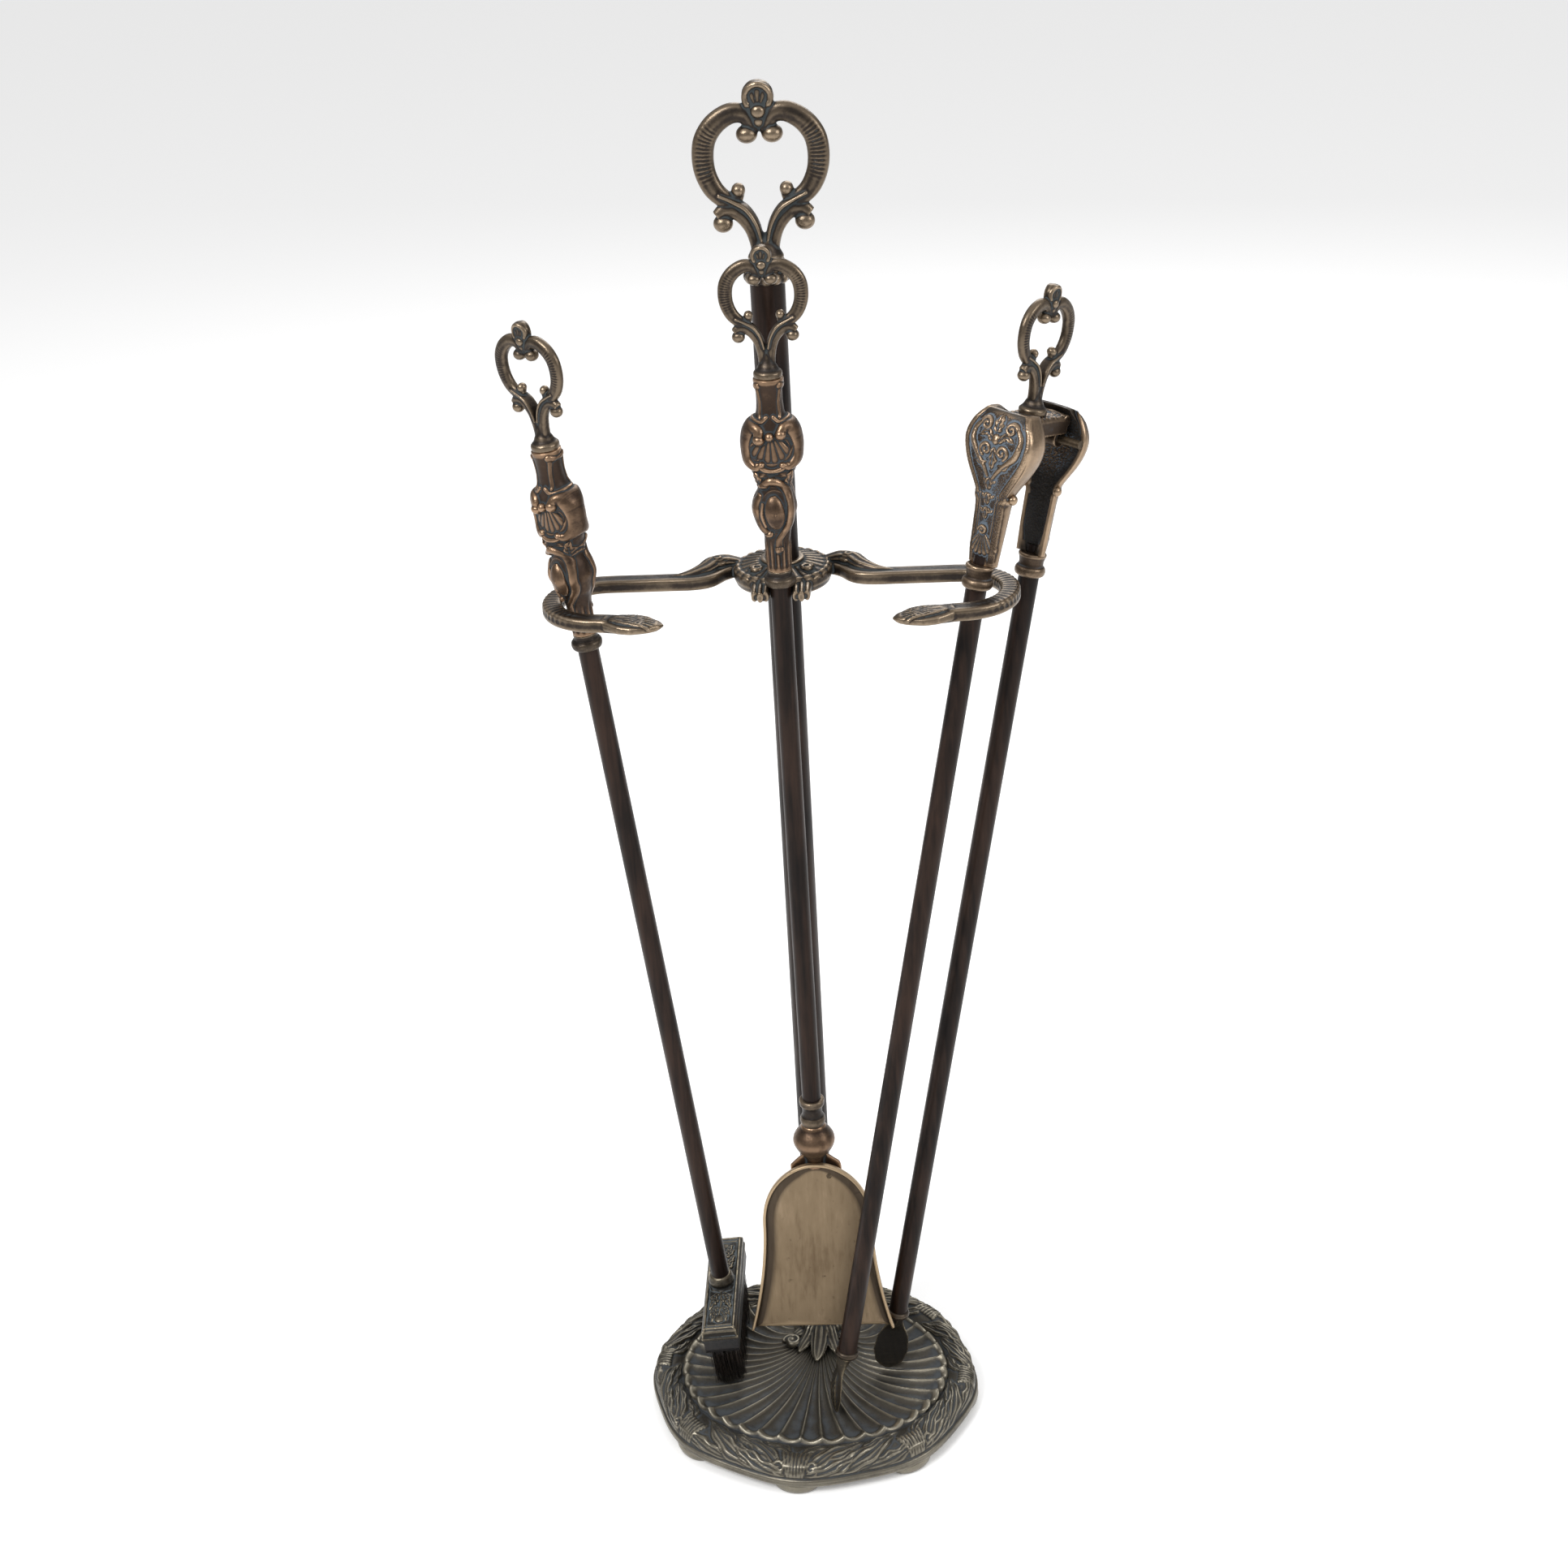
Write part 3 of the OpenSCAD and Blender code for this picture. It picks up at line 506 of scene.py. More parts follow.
def aged_casting(name, high, middle, low, grime, rough=0.42, verdigris=0.5, contrast=1.0):
    """Old cast brass: worn edges, brown faces, blue-grey dirt in the hollows, and painted shade
    that darkens the hollows to near black.
    """
    material, tree, shader = nodes_of(name)
    link = tree.links.new
    fine, broad = attribute(tree, "fine"), attribute(tree, "broad")
    blotch = noise(tree, 55, 5, 0.6)
    speck = noise(tree, 700, 5, 0.7, seed=3.0)
    relief = maths(tree, "ADD", maths(tree, "MULTIPLY", fine, 0.42 * contrast),
                   maths(tree, "MULTIPLY", broad, 0.5 * contrast))
    relief = maths(tree, "ADD", relief, maths(tree, "MULTIPLY",
                   maths(tree, "SUBTRACT", blotch, 0.5), 0.9))
    relief = maths(tree, "ADD", relief, maths(tree, "MULTIPLY",
                   maths(tree, "SUBTRACT", speck, 0.5), 0.35))
    level = maths(tree, "ADD", maths(tree, "MULTIPLY", relief, 0.5), 0.5)
    # painted shade: low relief in the hollows ramps to near black, standing in for their shadow as
    # well as their dirt
    colour = ramp(tree, level, [(0.2, low), (0.5, middle), (0.78, high),
                                (1.0, tuple(min(1, 1.7 * c) for c in high))])
    dirt_where = grey_ramp(tree, maths(tree, "ADD", level, maths(
        tree, "MULTIPLY", maths(tree, "SUBTRACT", noise(tree, 130, 4, 0.6, seed=8.0), 0.5),
        0.55)), [(0.16, 1.0), (0.44, 0.0)])
    colour = mixed(tree, maths(tree, "MULTIPLY", dirt_where, verdigris), colour, grime)
    # painted shade: points marked in the shade attribute are painted near black and made less
    # metallic, standing in for the shadow deep in hollows
    shade = attribute(tree, "shade")
    colour = mixed(tree, shade, colour, (0.009, 0.008, 0.007))
    link(colour, shader.inputs["Base Color"])
    shine = maths(tree, "MULTIPLY", maths(tree, "SUBTRACT", 1.0, shade),
                  grey_ramp(tree, level, [(0.2, 0.15), (0.55, 0.85)]))
    link(shine, shader.inputs["Metallic"])
    shader.inputs["Specular IOR Level"].default_value = 0.35
    link(grey_ramp(tree, maths(tree, "ADD", level, maths(
        tree, "MULTIPLY", maths(tree, "SUBTRACT", speck, 0.5), 0.5)),
        [(0.15, min(1.0, rough + 0.36)), (0.5, rough + 0.06), (0.85, rough - 0.08)]),
        shader.inputs["Roughness"])
    bumped(tree, shader, maths(tree, "ADD", speck, maths(tree, "MULTIPLY", noise(
        tree, 240, 3, 0.5, seed=5.0), 1.5)), 0.00016, 0.7)
    return material


def brown_tube(name, dark, light, along=(1, 1, 0.06)):
    """Satin chocolate-brown patina with fine lengthwise rubbing and small specks."""
    material, tree, shader = nodes_of(name)
    streak = noise(tree, 330, 3, 0.55, along)
    cloud = noise(tree, 22, 4, 0.6, (1, 1, 0.5), seed=2.0)
    speck = noise(tree, 900, 3, 0.6, seed=4.0)
    level = maths(tree, "ADD", maths(tree, "MULTIPLY", streak, 0.45),
                  maths(tree, "MULTIPLY", cloud, 0.55))
    colour = ramp(tree, level, [(0.34, dark), (0.68, light)])
    pits = grey_ramp(tree, speck, [(0.27, 1.0), (0.36, 0.0)])
    colour = mixed(tree, maths(tree, "MULTIPLY", pits, 0.7), colour, (0.012, 0.01, 0.01))
    tree.links.new(colour, shader.inputs["Base Color"])
    tree.links.new(grey_ramp(tree, maths(tree, "ADD", level, maths(
        tree, "MULTIPLY", speck, 0.2)), [(0.35, 0.5), (0.8, 0.33)]), shader.inputs["Roughness"])
    shader.inputs["Metallic"].default_value = 0.4
    shader.inputs["Specular IOR Level"].default_value = 0.25
    bumped(tree, shader, streak, 0.00008, 0.5)
    return material


CASTING = aged_casting("aged_brass", (0.155, 0.118, 0.082), (0.033, 0.026, 0.022),
                       (0.005, 0.005, 0.005), (0.075, 0.09, 0.095), 0.36)
GRIP_BRASS = aged_casting("grip_brass", (0.20, 0.128, 0.08), (0.05, 0.0325, 0.0235),
                          (0.005, 0.005, 0.005), (0.07, 0.085, 0.095), 0.36)
BASE_BRASS = aged_casting("base_brass", (0.19, 0.172, 0.135), (0.075, 0.068, 0.056),
                          (0.014, 0.013, 0.012), (0.085, 0.096, 0.105), 0.38, 0.5, 0.72)
BROWN = brown_tube("brown_rod", (0.005, 0.003, 0.0025), (0.034, 0.018, 0.012))
ARM_BRASS = aged_casting("arm_brass", (0.23, 0.165, 0.11), (0.058, 0.040, 0.028),
                         (0.012, 0.012, 0.013), (0.155, 0.19, 0.23), 0.36, 0.85)
COVER_BRASS = aged_casting("cover_brass", (0.17, 0.145, 0.105), (0.034, 0.031, 0.027),
                           (0.006, 0.006, 0.006), (0.12, 0.14, 0.15), 0.38, 0.75)
CLAW = aged_casting("claw_brass", (0.2, 0.165, 0.11), (0.05, 0.042, 0.032),
                    (0.006, 0.006, 0.007), (0.06, 0.07, 0.075), 0.4, 0.4)


def pan_sheet(name):
    """Golden-brown satin sheet, brushed down its length, with stains and painted shade in its
    fillet.
    """
    material, tree, shader = nodes_of(name)
    link = tree.links.new
    brush = noise(tree, 420, 3, 0.6, (1, 1, 0.035))
    cloud = noise(tree, 24, 5, 0.62, (1, 1, 0.6), seed=1.5)
    dots = noise(tree, 210, 2, 0.5, seed=6.0)
    broad = attribute(tree, "broad")
    level = maths(tree, "ADD", maths(tree, "MULTIPLY", brush, 0.35),
                  maths(tree, "MULTIPLY", cloud, 0.65))
    colour = ramp(tree, level, [(0.32, (0.155, 0.108, 0.064)), (0.52, (0.225, 0.165, 0.102)),
                                (0.7, (0.29, 0.215, 0.14))])
    stain = maths(tree, "MULTIPLY", grey_ramp(tree, dots, [(0.27, 1.0), (0.34, 0.0)]),
                  grey_ramp(tree, cloud, [(0.4, 1.0), (0.56, 0.15)]))
    colour = mixed(tree, maths(tree, "MULTIPLY", stain, 0.65), colour, (0.035, 0.025, 0.02))
    # painted shade: the concave fillet where the rim turns up is darkened
    hollow = grey_ramp(tree, maths(tree, "ADD", maths(tree, "MULTIPLY", broad, 0.5), 0.5),
                       [(0.18, 1.0), (0.42, 0.0)])
    colour = mixed(tree, maths(tree, "MULTIPLY", hollow, 0.8), colour, (0.03, 0.022, 0.018))
    edge = grey_ramp(tree, maths(tree, "ADD", maths(tree, "MULTIPLY", broad, 0.5), 0.5),
                     [(0.6, 0.0), (0.85, 1.0)])
    colour = mixed(tree, maths(tree, "MULTIPLY", edge, 0.7), colour, (0.5, 0.37, 0.23))
    link(colour, shader.inputs["Base Color"])
    link(grey_ramp(tree, level, [(0.35, 0.46), (0.7, 0.34)]), shader.inputs["Roughness"])
    shader.inputs["Metallic"].default_value = 0.88
    bumped(tree, shader, maths(tree, "ADD", brush, maths(tree, "MULTIPLY", cloud, 2.0)),
           0.00008, 0.55)
    return material


def dull_metal(name, dark, light, rough):
    """Plain steel or brass hardware: cloudy, finely pitted, a little worn."""
    material, tree, shader = nodes_of(name)
    cloud = noise(tree, 90, 4, 0.6)
    pits = noise(tree, 1100, 3, 0.6, seed=2.5)
    level = maths(tree, "ADD", maths(tree, "MULTIPLY", cloud, 0.7),
                  maths(tree, "MULTIPLY", pits, 0.3))
    tree.links.new(ramp(tree, level, [(0.35, dark), (0.65, light)]),
                   shader.inputs["Base Color"])
    tree.links.new(grey_ramp(tree, level, [(0.35, rough + 0.15), (0.65, rough)]),
                   shader.inputs["Roughness"])
    shader.inputs["Metallic"].default_value = 0.9
    bumped(tree, shader, pits, 0.00006, 0.5)
    return material


def grained(name, dark, light, rough, squeeze, scale):
    """Painted wood or stiff hair: dark, with a fine grain along Z."""
    material, tree, shader = nodes_of(name)
    grain = noise(tree, scale, 4, 0.6, squeeze)
    cloud = noise(tree, 60, 3, 0.5, seed=1.0)
    level = maths(tree, "ADD", maths(tree, "MULTIPLY", grain, 0.6),
                  maths(tree, "MULTIPLY", cloud, 0.4))
    tree.links.new(ramp(tree, level, [(0.36, dark), (0.66, light)]),
                   shader.inputs["Base Color"])
    tree.links.new(grey_ramp(tree, level, [(0.35, rough + 0.12), (0.7, rough)]),
                   shader.inputs["Roughness"])
    bumped(tree, shader, grain, 0.00008, 0.5)
    return material


PAN = pan_sheet("pan_sheet")
STEEL = dull_metal("dull_steel", (0.16, 0.16, 0.165), (0.36, 0.36, 0.37), 0.38)
FASTENER = dull_metal("dark_fastener", (0.06, 0.045, 0.03), (0.17, 0.125, 0.08), 0.4)
BLACK_WOOD = grained("black_wood", (0.006, 0.006, 0.007), (0.022, 0.02, 0.019), 0.42,
                     (1, 0.15, 1), 400)
BRISTLE = grained("dark_hair", (0.006, 0.005, 0.005), (0.05, 0.036, 0.027), 0.4,
                  (1, 1, 0.12), 1500)


# ---------------------------------------------------------------- base

def base_outline(theta, in_x, in_y, shift, wave):
    half_w, half_d, lobes = 89.5, 80.0, 8
    swell = 1 + wave * np.cos(lobes * theta)
    return np.stack([(half_w - in_x) * swell * np.sin(theta),
                     shift - (half_d - in_y) * swell * np.cos(theta)], -1)


def base_shape():
    """The oval base: a fluted shell in a leafy rim on eight small feet."""
    ribs, per_rib, rows = 38, 18, 70
    cols = ribs * per_rib
    hinge = np.array([0.0, POST_BACK])
    pad = 15.0
    theta = np.linspace(0, 2 * math.pi, cols, endpoint=False)
    theta = theta - math.pi
    frac = (np.arange(cols) / per_rib) % 1
    # edge of the shell, scalloped outwards between the ridges
    scallop = 1 + 0.018 * np.sin(math.pi * frac) ** 0.8
    edge = np.stack([72.5 * scallop * np.sin(theta),
                     3 - 58.5 * scallop * np.cos(theta)], -1)
    chord = edge - hinge
    phi = np.arctan2(chord[:, 0], -chord[:, 1])
    start_phi = phi - 0.62 * np.sin(phi)
    start = hinge + pad * np.stack([np.sin(start_phi), -np.cos(start_phi)], -1)
    length = np.linalg.norm(edge - start, axis=1)[:, None]
    bend = start + np.stack([np.sin(start_phi), -np.cos(start_phi)], -1) * 0.5 * length
    s = np.linspace(0, 1, rows)[:, None, None]
    plan = (1 - s) ** 2 * start + 2 * s * (1 - s) * bend + s ** 2 * edge
    s = s[..., 0]
    skew = (frac - 0.5) * 2
    flute = np.abs(skew + 0.16 * (1 - skew ** 2) * np.sign(theta)) ** 2.0
    depth = np.interp(s, [0, 0.12, 0.55, 1], [0.15, 0.7, 1.3, 2.3])
    floor = 10.9 - 1.3 * np.sin(math.pi * np.clip(s, 0, 1) ** 0.8) + 2.9 * s ** 3
    height = floor + depth * (flute[None, :] - 0.25)
    lip = np.exp(-((s - 0.985) / 0.02) ** 2) * 0.9
    height = height + lip
    shell = np.dstack([plan, height])
    # channel and rim, ring by ring from the shell's edge to the outside
    rim = base_rim(theta, edge)
    rings = np.concatenate([shell, rim])
    bottom = base_outline(theta, 6, 6, 0, 0.012)
    under = [np.dstack([bottom[None], np.full((1, cols), 4.2)])]
    for in_x, z in ((14, 4.0), (15, 7.6), (40, 7.2), (70, 7.2)):
        ring = base_outline(theta, in_x, in_x * 0.95, 0, 0)
        under.append(np.dstack([ring[None], np.full((1, cols), z)]))
    rings = np.concatenate([rings] + under)
    shape = tube_shape(rings)
    return shape


def base_rim(theta, edge):
    """Rings from the shell's edge down into the channel, up over the leaves and down."""
    levels = np.array([
        # inset x, inset y, shift, wave, height, how much of the leaves shows
        [16.2, 20.2, 3.0, 0, 12.2, 0.0], [15.4, 19.2, 2.9, 0, 12.5, 0.6],
        [13.6, 16.8, 2.5, 0, 13.8, 1.0], [11.6, 14.2, 2.0, 0.003, 15.1, 1.0],
        [9.4, 11.4, 1.5, 0.006, 16.0, 1.0], [7.0, 8.4, 1.0, 0.009, 16.1, 1.0],
        [4.8, 5.6, 0.5, 0.012, 15.1, 1.0], [3.0, 3.2, 0.2, 0.012, 13.1, 1.0],
        [1.9, 1.9, 0.0, 0.012, 11.3, 0.6], [1.5, 1.5, 0.0, 0.012, 9.9, 0.1],
        [0.4, 0.4, 0.0, 0.012, 9.0, 0.0], [0.1, 0.1, 0.0, 0.012, 7.4, 0.0],
        [0.6, 0.6, 0.0, 0.012, 5.4, 0.0], [3.0, 3.0, 0.0, 0.012, 4.4, 0.0]])
    fine = np.linspace(0, 1, 74)
    at_level = np.linspace(0, 1, len(levels))
    level = smooth_line(levels, 74)
    rings = [base_outline(theta, *row[:4]) for row in level]
    plan = np.array(rings)
    first = edge + (plan[0] - edge) * 0.0
    blend = np.clip(1 - fine * 16, 0, 1)[:, None, None]
    plan = plan * (1 - blend) + first * blend
    surface = np.dstack([plan, np.broadcast_to(level[:, 4:5], plan.shape[:2])])
    # relief in mm: A runs round from the front, B runs from the outside edge inwards
    step = np.linalg.norm(np.diff(surface, axis=0), axis=2).mean(1)
    B = np.concatenate([[0], np.cumsum(step)])
    B = np.broadcast_to((B[-1] - B)[:, None], plan.shape[:2])
    A = np.broadcast_to(theta[None, :] * 84.0, plan.shape[:2])
    H = np.zeros(plan.shape[:2])
    rim_leaves(H, A, B)
    show = np.interp(fine, at_level, levels[:, 5])[:, None]
    du = np.gradient(surface, axis=0)
    dv = np.roll(surface, -1, axis=1) - np.roll(surface, 1, axis=1)
    normal = np.cross(dv, du)
    normal /= np.maximum(np.linalg.norm(normal, axis=2), 1e-9)[..., None]
    if normal[len(fine) // 3, 0, 2] < 0:
        normal = -normal
    return surface + normal * (H * show)[..., None]


def rim_leaves(H, A, B):
    """Palmettes over the feet and acanthus leaves that sweep away from the front."""
    sector = 84.0 * math.pi / 4
    for side in (-1, 1):
        for k in range(5):
            x0 = side * k * sector
            for (x1, y1, x2, y2, x3, y3, w, h) in (
                    (3, 19.0, 10, 24.0, 24, 26.5, 3.2, 1.2),
                    (34, 17.0, 48, 23.0, 63, 26.5, 3.6, 1.3),
                    (6, 12.0, 20, 19.5, 42, 25.0, 4.4, 1.6),
                    (38, 9.5, 52, 11.0, 67, 15.0, 4.2, 1.6),
                    (18, 10.0, 36, 14.0, 58, 23.0, 4.9, 2.0),
                    (4, 9.4, 18, 11.0, 38, 18.0, 4.8, 2.2)):
                line = smooth_line([(x0 + side * x1, y1), (x0 + side * x2, y2),
                                    (x0 + side * x3, y3)], 16)
                leaf(H, A, B, line, w, h, veins=3, lobes=3, cup=0.4, lines=2.1)
            ridge(H, A, B, flat_spiral((x0 + side * 8.2, 12.4), 3.6, 0.8,
                                       -90 if side > 0 else 270, side * 1.3), 0.95, 1.9)
    for k in range(-4, 5):
        for j in range(-3, 4):
            x0 = k * sector
            line = smooth_line([(x0 + 1.1 * j, 7.0), (x0 + 1.5 * j, 12), (x0 + 2.5 * j, 19.5)],
                               10)
            ridge(H, A, B, line, [0.8, 0.95, 1.2], [1.3, 2.0, 0.8], 0.2)


def base_feet():
    """Low rounded lobes that run into the rim's edge."""
    feet = Shape()
    a = np.linspace(0, 2 * math.pi, 48, endpoint=False)
    for k in range(8):
        theta = k * math.pi / 4
        x, y = base_outline(np.array([theta]), 8, 8, 0, 0.012)[0]
        round_way, out_way = (math.cos(theta), math.sin(theta)), (math.sin(theta),
                                                                  -math.cos(theta))
        levels = [(5.4, 0.0), (6.6, 0.2), (7.4, 1.0), (7.9, 2.6), (8.2, 4.6), (7.6, 7.0)]
        rings = np.array([np.column_stack([
            x + r * (1.55 * np.cos(a) * round_way[0] + np.sin(a) * out_way[0]),
            y + r * (1.55 * np.cos(a) * round_way[1] + np.sin(a) * out_way[1]),
            np.full(48, z)]) for r, z in levels])
        feet.join(tube_shape(rings))
    return feet


def build_base():
    shape = base_shape().join(base_feet())
    piece("base", shape, BASE, BASE_BRASS, "stand", ["base_casting"], steps=(3, 20))


# ---------------------------------------------------------------- cast pieces

def raised(surface, H, wrap=True):
    """A grid of points pushed out along its own normals by the heights H."""
    du = np.gradient(surface, axis=0)
    if wrap:
        dv = np.roll(surface, -1, axis=1) - np.roll(surface, 1, axis=1)
    else:
        dv = np.gradient(surface, axis=1)
    normal = np.cross(dv, du)
    normal /= np.maximum(np.linalg.norm(normal, axis=2), 1e-9)[..., None]
    outward = surface - surface.mean(axis=1, keepdims=True)
    if (normal * outward).sum() < 0:
        normal = -normal
    return surface + normal * H[..., None]


def turned(profile, rows=60, around=72, squash=None, bump=None):
    """A turned body from (height, radius) pairs; squash gives its depth radii."""
    heights, radii = np.array(profile, float).T
    along = np.concatenate([[0], np.cumsum(np.hypot(np.diff(heights), np.diff(radii)))])
    t = np.linspace(0, along[-1], rows)
    line = smooth_line(np.column_stack([heights, radii]), rows * 4)
    far = np.concatenate([[0], np.cumsum(np.hypot(*np.diff(line, axis=0).T))])
    z = np.interp(t / along[-1], far / far[-1], line[:, 0])
    r = np.maximum(np.interp(t / along[-1], far / far[-1], line[:, 1]), 0.05)
    depth = r if squash is None else np.minimum(r, np.interp(z, *np.array(squash, float).T))
    a = np.linspace(0, 2 * math.pi, around, endpoint=False)
    surface = np.stack([r[:, None] * np.sin(a), -depth[:, None] * np.cos(a),
                        np.broadcast_to(z[:, None], (rows, around))], -1)
    if bump is None:
        return tube_shape(surface)
    H = bump(np.broadcast_to(a, (rows, around)), surface[..., 0], surface[..., 2])
    return tube_shape(raised(surface, H))


GRIP_PROFILE = [(8.3, 5.7), (12, 5.5), (18, 5.6), (24, 6.0), (28, 6.7), (31, 7.9), (35, 9.0),
                (39, 10.0), (44, 9.3), (48, 8.0), (51, 7.6), (54, 8.6), (58, 10.6),
                (63, 12.2), (70, 13.0), (76, 12.0), (81, 8.7), (84, 6.7), (88, 6.1),
                (92, 6.0), (96, 6.3), (98.6, 6.9), (100, 6.9)]
GRIP_DEPTH = [(0, 12), (52, 12), (58, 8.4), (63, 8.4), (76, 8.2), (84, 7), (100, 12)]


def grip_relief(a, X, Z):
    """Shell knob in two C-scroll lips, a cabochon in an S-scroll, a fluted stem."""
    H = np.zeros(X.shape)
    # hollows first
    for cx, cz, ra, rb, deep in ((0, 68.4, 8.6, 6.6, 1.8), (-7.4, 67.5, 2.6, 4.0, 1.0),
                                 (7.4, 70.5, 2.4, 3.6, 1.0), (0, 38.5, 6.8, 10.6, 0.9),
                                 (0, 54.5, 6.0, 3.4, 0.8), (-6.0, 36, 2.2, 4.0, 0.7)):
        q = ((X - cx) / ra) ** 2 + ((Z - cz) / rb) ** 2
        H -= deep * np.clip(1 - q, 0, 1) ** 0.6
    fan(H, X, Z, (-0.4, 78.5), 19.4, -90, 84, 6, 1.5, rise=-1.5)
    ridge(H, X, Z, smooth_line([(-6.6, 61.6), (-3.4, 59.4), (0, 58.7), (3.6, 59.5), (6.8, 61.4)],
                               24), 1.2, 1.7)
    right = [(4.2, 76.2), (6.2, 78.8), (9.2, 77.8), (12.0, 73), (12.7, 67.5), (10.8, 62.8),
             (7.4, 60.4), (4.6, 61.2)]
    left = [(-5.3, 73.6), (-5.6, 77.4), (-8.6, 78.4), (-11.8, 74), (-12.7, 68), (-11.2, 62.8),
            (-7.6, 60.2), (-4.8, 61.6)]
    for line in (right, left):
        ridge(H, X, Z, smooth_line(line, 40), [2.2, 2.7, 2.8, 2.7, 2.2, 1.6],
              [2.6, 2.4, 1.6, 1.6, 2.0, 1.8])
    for cx, cz, r, h in ((4.3, 75.6, 2.5, 3.2), (-5.3, 73.4, 2.6, 3.3), (-0.6, 74.9, 2.1, 3.0),
                         (4.6, 61.3, 1.5, 2.0), (-4.8, 61.7, 1.5, 2.0)):
        dome(H, X, Z, (cx, cz), r, r, h)
    # cabochon, its scroll and the leaf on its left
    dome(H, X, Z, (0, 38.6), 4.5, 8.4, 2.1, turn=4, rise=-0.3)
    ridge(H, X, Z, smooth_line([(0.2, 46), (0.3, 39), (-0.2, 31.5)], 12), 1.0, [0.6, 1.9, 0.6])
    ridge(H, X, Z, smooth_line([(-4.2, 52), (-1.4, 54), (2.8, 52.6), (6.0, 47.4), (7.2, 40.5),
                                (6.2, 33.4), (3.6, 28.8), (1.2, 25.2), (0.7, 20.6)], 44),
          [1.9, 1.7, 1.4, 1.4, 1.3, 1.6], [2.2, 1.9, 1.6, 1.5, 1.5, 1.6])
    dome(H, X, Z, (-4.2, 51.8), 2.2, 2.0, 2.6)
    dome(H, X, Z, (0.7, 20.2), 1.9, 2.2, 2.1)
    ridge(H, X, Z, smooth_line([(-6.6, 46.4), (-8.6, 41.5), (-8.0, 35), (-5.6, 30), (-3.1, 27.9)],
                               30), [1.2, 1.7, 1.7, 1.4], [1.0, 1.6, 1.6, 1.6])
    dome(H, X, Z, (-3.0, 27.8), 1.8, 1.7, 2.1)
    ridge(H, X, Z, smooth_line([(-5.4, 43), (-6.2, 37), (-4.6, 31.6)], 14), 0.6, 0.8)
    # ribs of the waist and the facets of the neck
    for side in (-1, 1):
        leaf(H, X, Z, smooth_line([(side * 5.6, 49), (side * 6.8, 54), (side * 8.6, 58.5)], 10),
             1.6, 1.0, veins=4)
        ridge(H, X, Z, smooth_line([(side * 4.4, 83), (side * 4.1, 90), (side * 4.9, 96)], 14),
              0.7, [0.9, 0.7, 0.9])
        dome(H, X, Z, (side * 5.2, 97.2), 1.5, 1.7, 1.0)
        ridge(H, X, Z, smooth_line([(side * 1.5, 83.6), (side * 4.0, 81.4), (side * 8.0, 81.8)],
                                   14), 0.9, 1.1)
    stem = np.clip((Z - 9) / 3, 0, 1) * np.clip((25 - Z) / 6, 0, 1)
    H += 0.5 * stem * np.cos(12 * a)
    return H


def build_grip(tool, place, turn, body):
    shape = turned(GRIP_PROFILE, 330, 230, GRIP_DEPTH, grip_relief)
    piece(f"{tool}_grip_cast", shape, inside(place, turn=Matrix.Rotation(turn, 3, "Z")),
          GRIP_BRASS, body, [f"{tool}_grip"], steps=(3, 22))


# -- heart-shaped loops

def channel(flutes, start, stop):
    """A bar with raised borders, and fine cross fluting between two places on it."""
    def bump(t, a):
        face = np.exp(-((np.abs(np.sin(a)) - 1) / 0.28) ** 2)
        here = np.clip((t - start) * 14, 0, 1) * np.clip((stop - t) * 14, 0, 1)
        return 1 - face * (0.17 - 0.06 * here * np.cos(2 * math.pi * flutes * t))
    return bump


def loop_half():
    half = Shape()
    ring = smooth_line([(3.3, 0, 44.6), (2.2, 0, 47.2), (4.2, 0, 50.2), (8.2, 0, 50.6),
                        (12.8, 0, 48.0), (15.9, 0, 43.8), (16.9, 0, 39.0), (16.4, 0, 33.8),
                        (14.2, 0, 29.0), (10.8, 0, 26.0), (8.2, 0, 26.2), (7.0, 0, 28.2)], 130)
    half.join(sweep(ring, [2.2, 2.6, 3.0, 3.2, 3.3, 3.2, 3.0, 2.6, 1.9],
                    [2.2, 2.6, 2.9, 3.0, 2.8, 2.8, 2.8, 2.6, 1.9], around=40,
                    bump=channel(44, 0.36, 0.72)))
    half.join(ball((3.7, 0, 44.6), 3.2, 3.2, 2.7))
    half.join(ball((7.1, 0, 28.6), 2.1, 2.4, 2.2))
    half.join(sweep(smooth_line([(1.3, 0, 3), (1.6, 0, 10), (3.0, 0, 16.2), (5.4, 0, 20.2),
                                 (8.4, 0, 22.6), (11.4, 0, 22.8), (13.4, 0, 21.0)], 70),
                    [2.5, 2.4, 2.4, 2.4, 2.3], [3.3, 3.0, 2.7, 2.5, 2.4], around=32,
                    bump=channel(1, 0, 0)))
    half.join(ball((12.1, 0, 19.1), 3.0, 2.9, 2.7))
    half.join(sweep(smooth_line([(0.8, 0, 13.5), (2.2, 0, 18.8), (5.0, 0, 23.2), (8.8, 0, 25.6),
                                 (13.0, 0, 27.6)], 50),
                    [0.7, 1.0, 1.1, 0.8], [3.2, 3.2, 3.1, 2.9], around=20))
    return half


def finial_relief(a, X, Z):
    H = np.zeros(X.shape)
    q = (X / 3.2) ** 2 + ((Z - 55.4) / 3.9) ** 2
    H -= 1.1 * np.clip(1 - q, 0, 1) ** 0.4
    fan(H, X, Z, (0, 50.6), 8.4, 90, 96, 5, 1.0, rise=-1.0)
    ridge(H, X, Z, flat_spiral((0, 55.0), 3.7, 3.7, -30, 0.67, 30), 0.8, 0.7)
    dome(H, X, Z, (0, 51.2), 2.0, 1.8, 1.0)
    return H


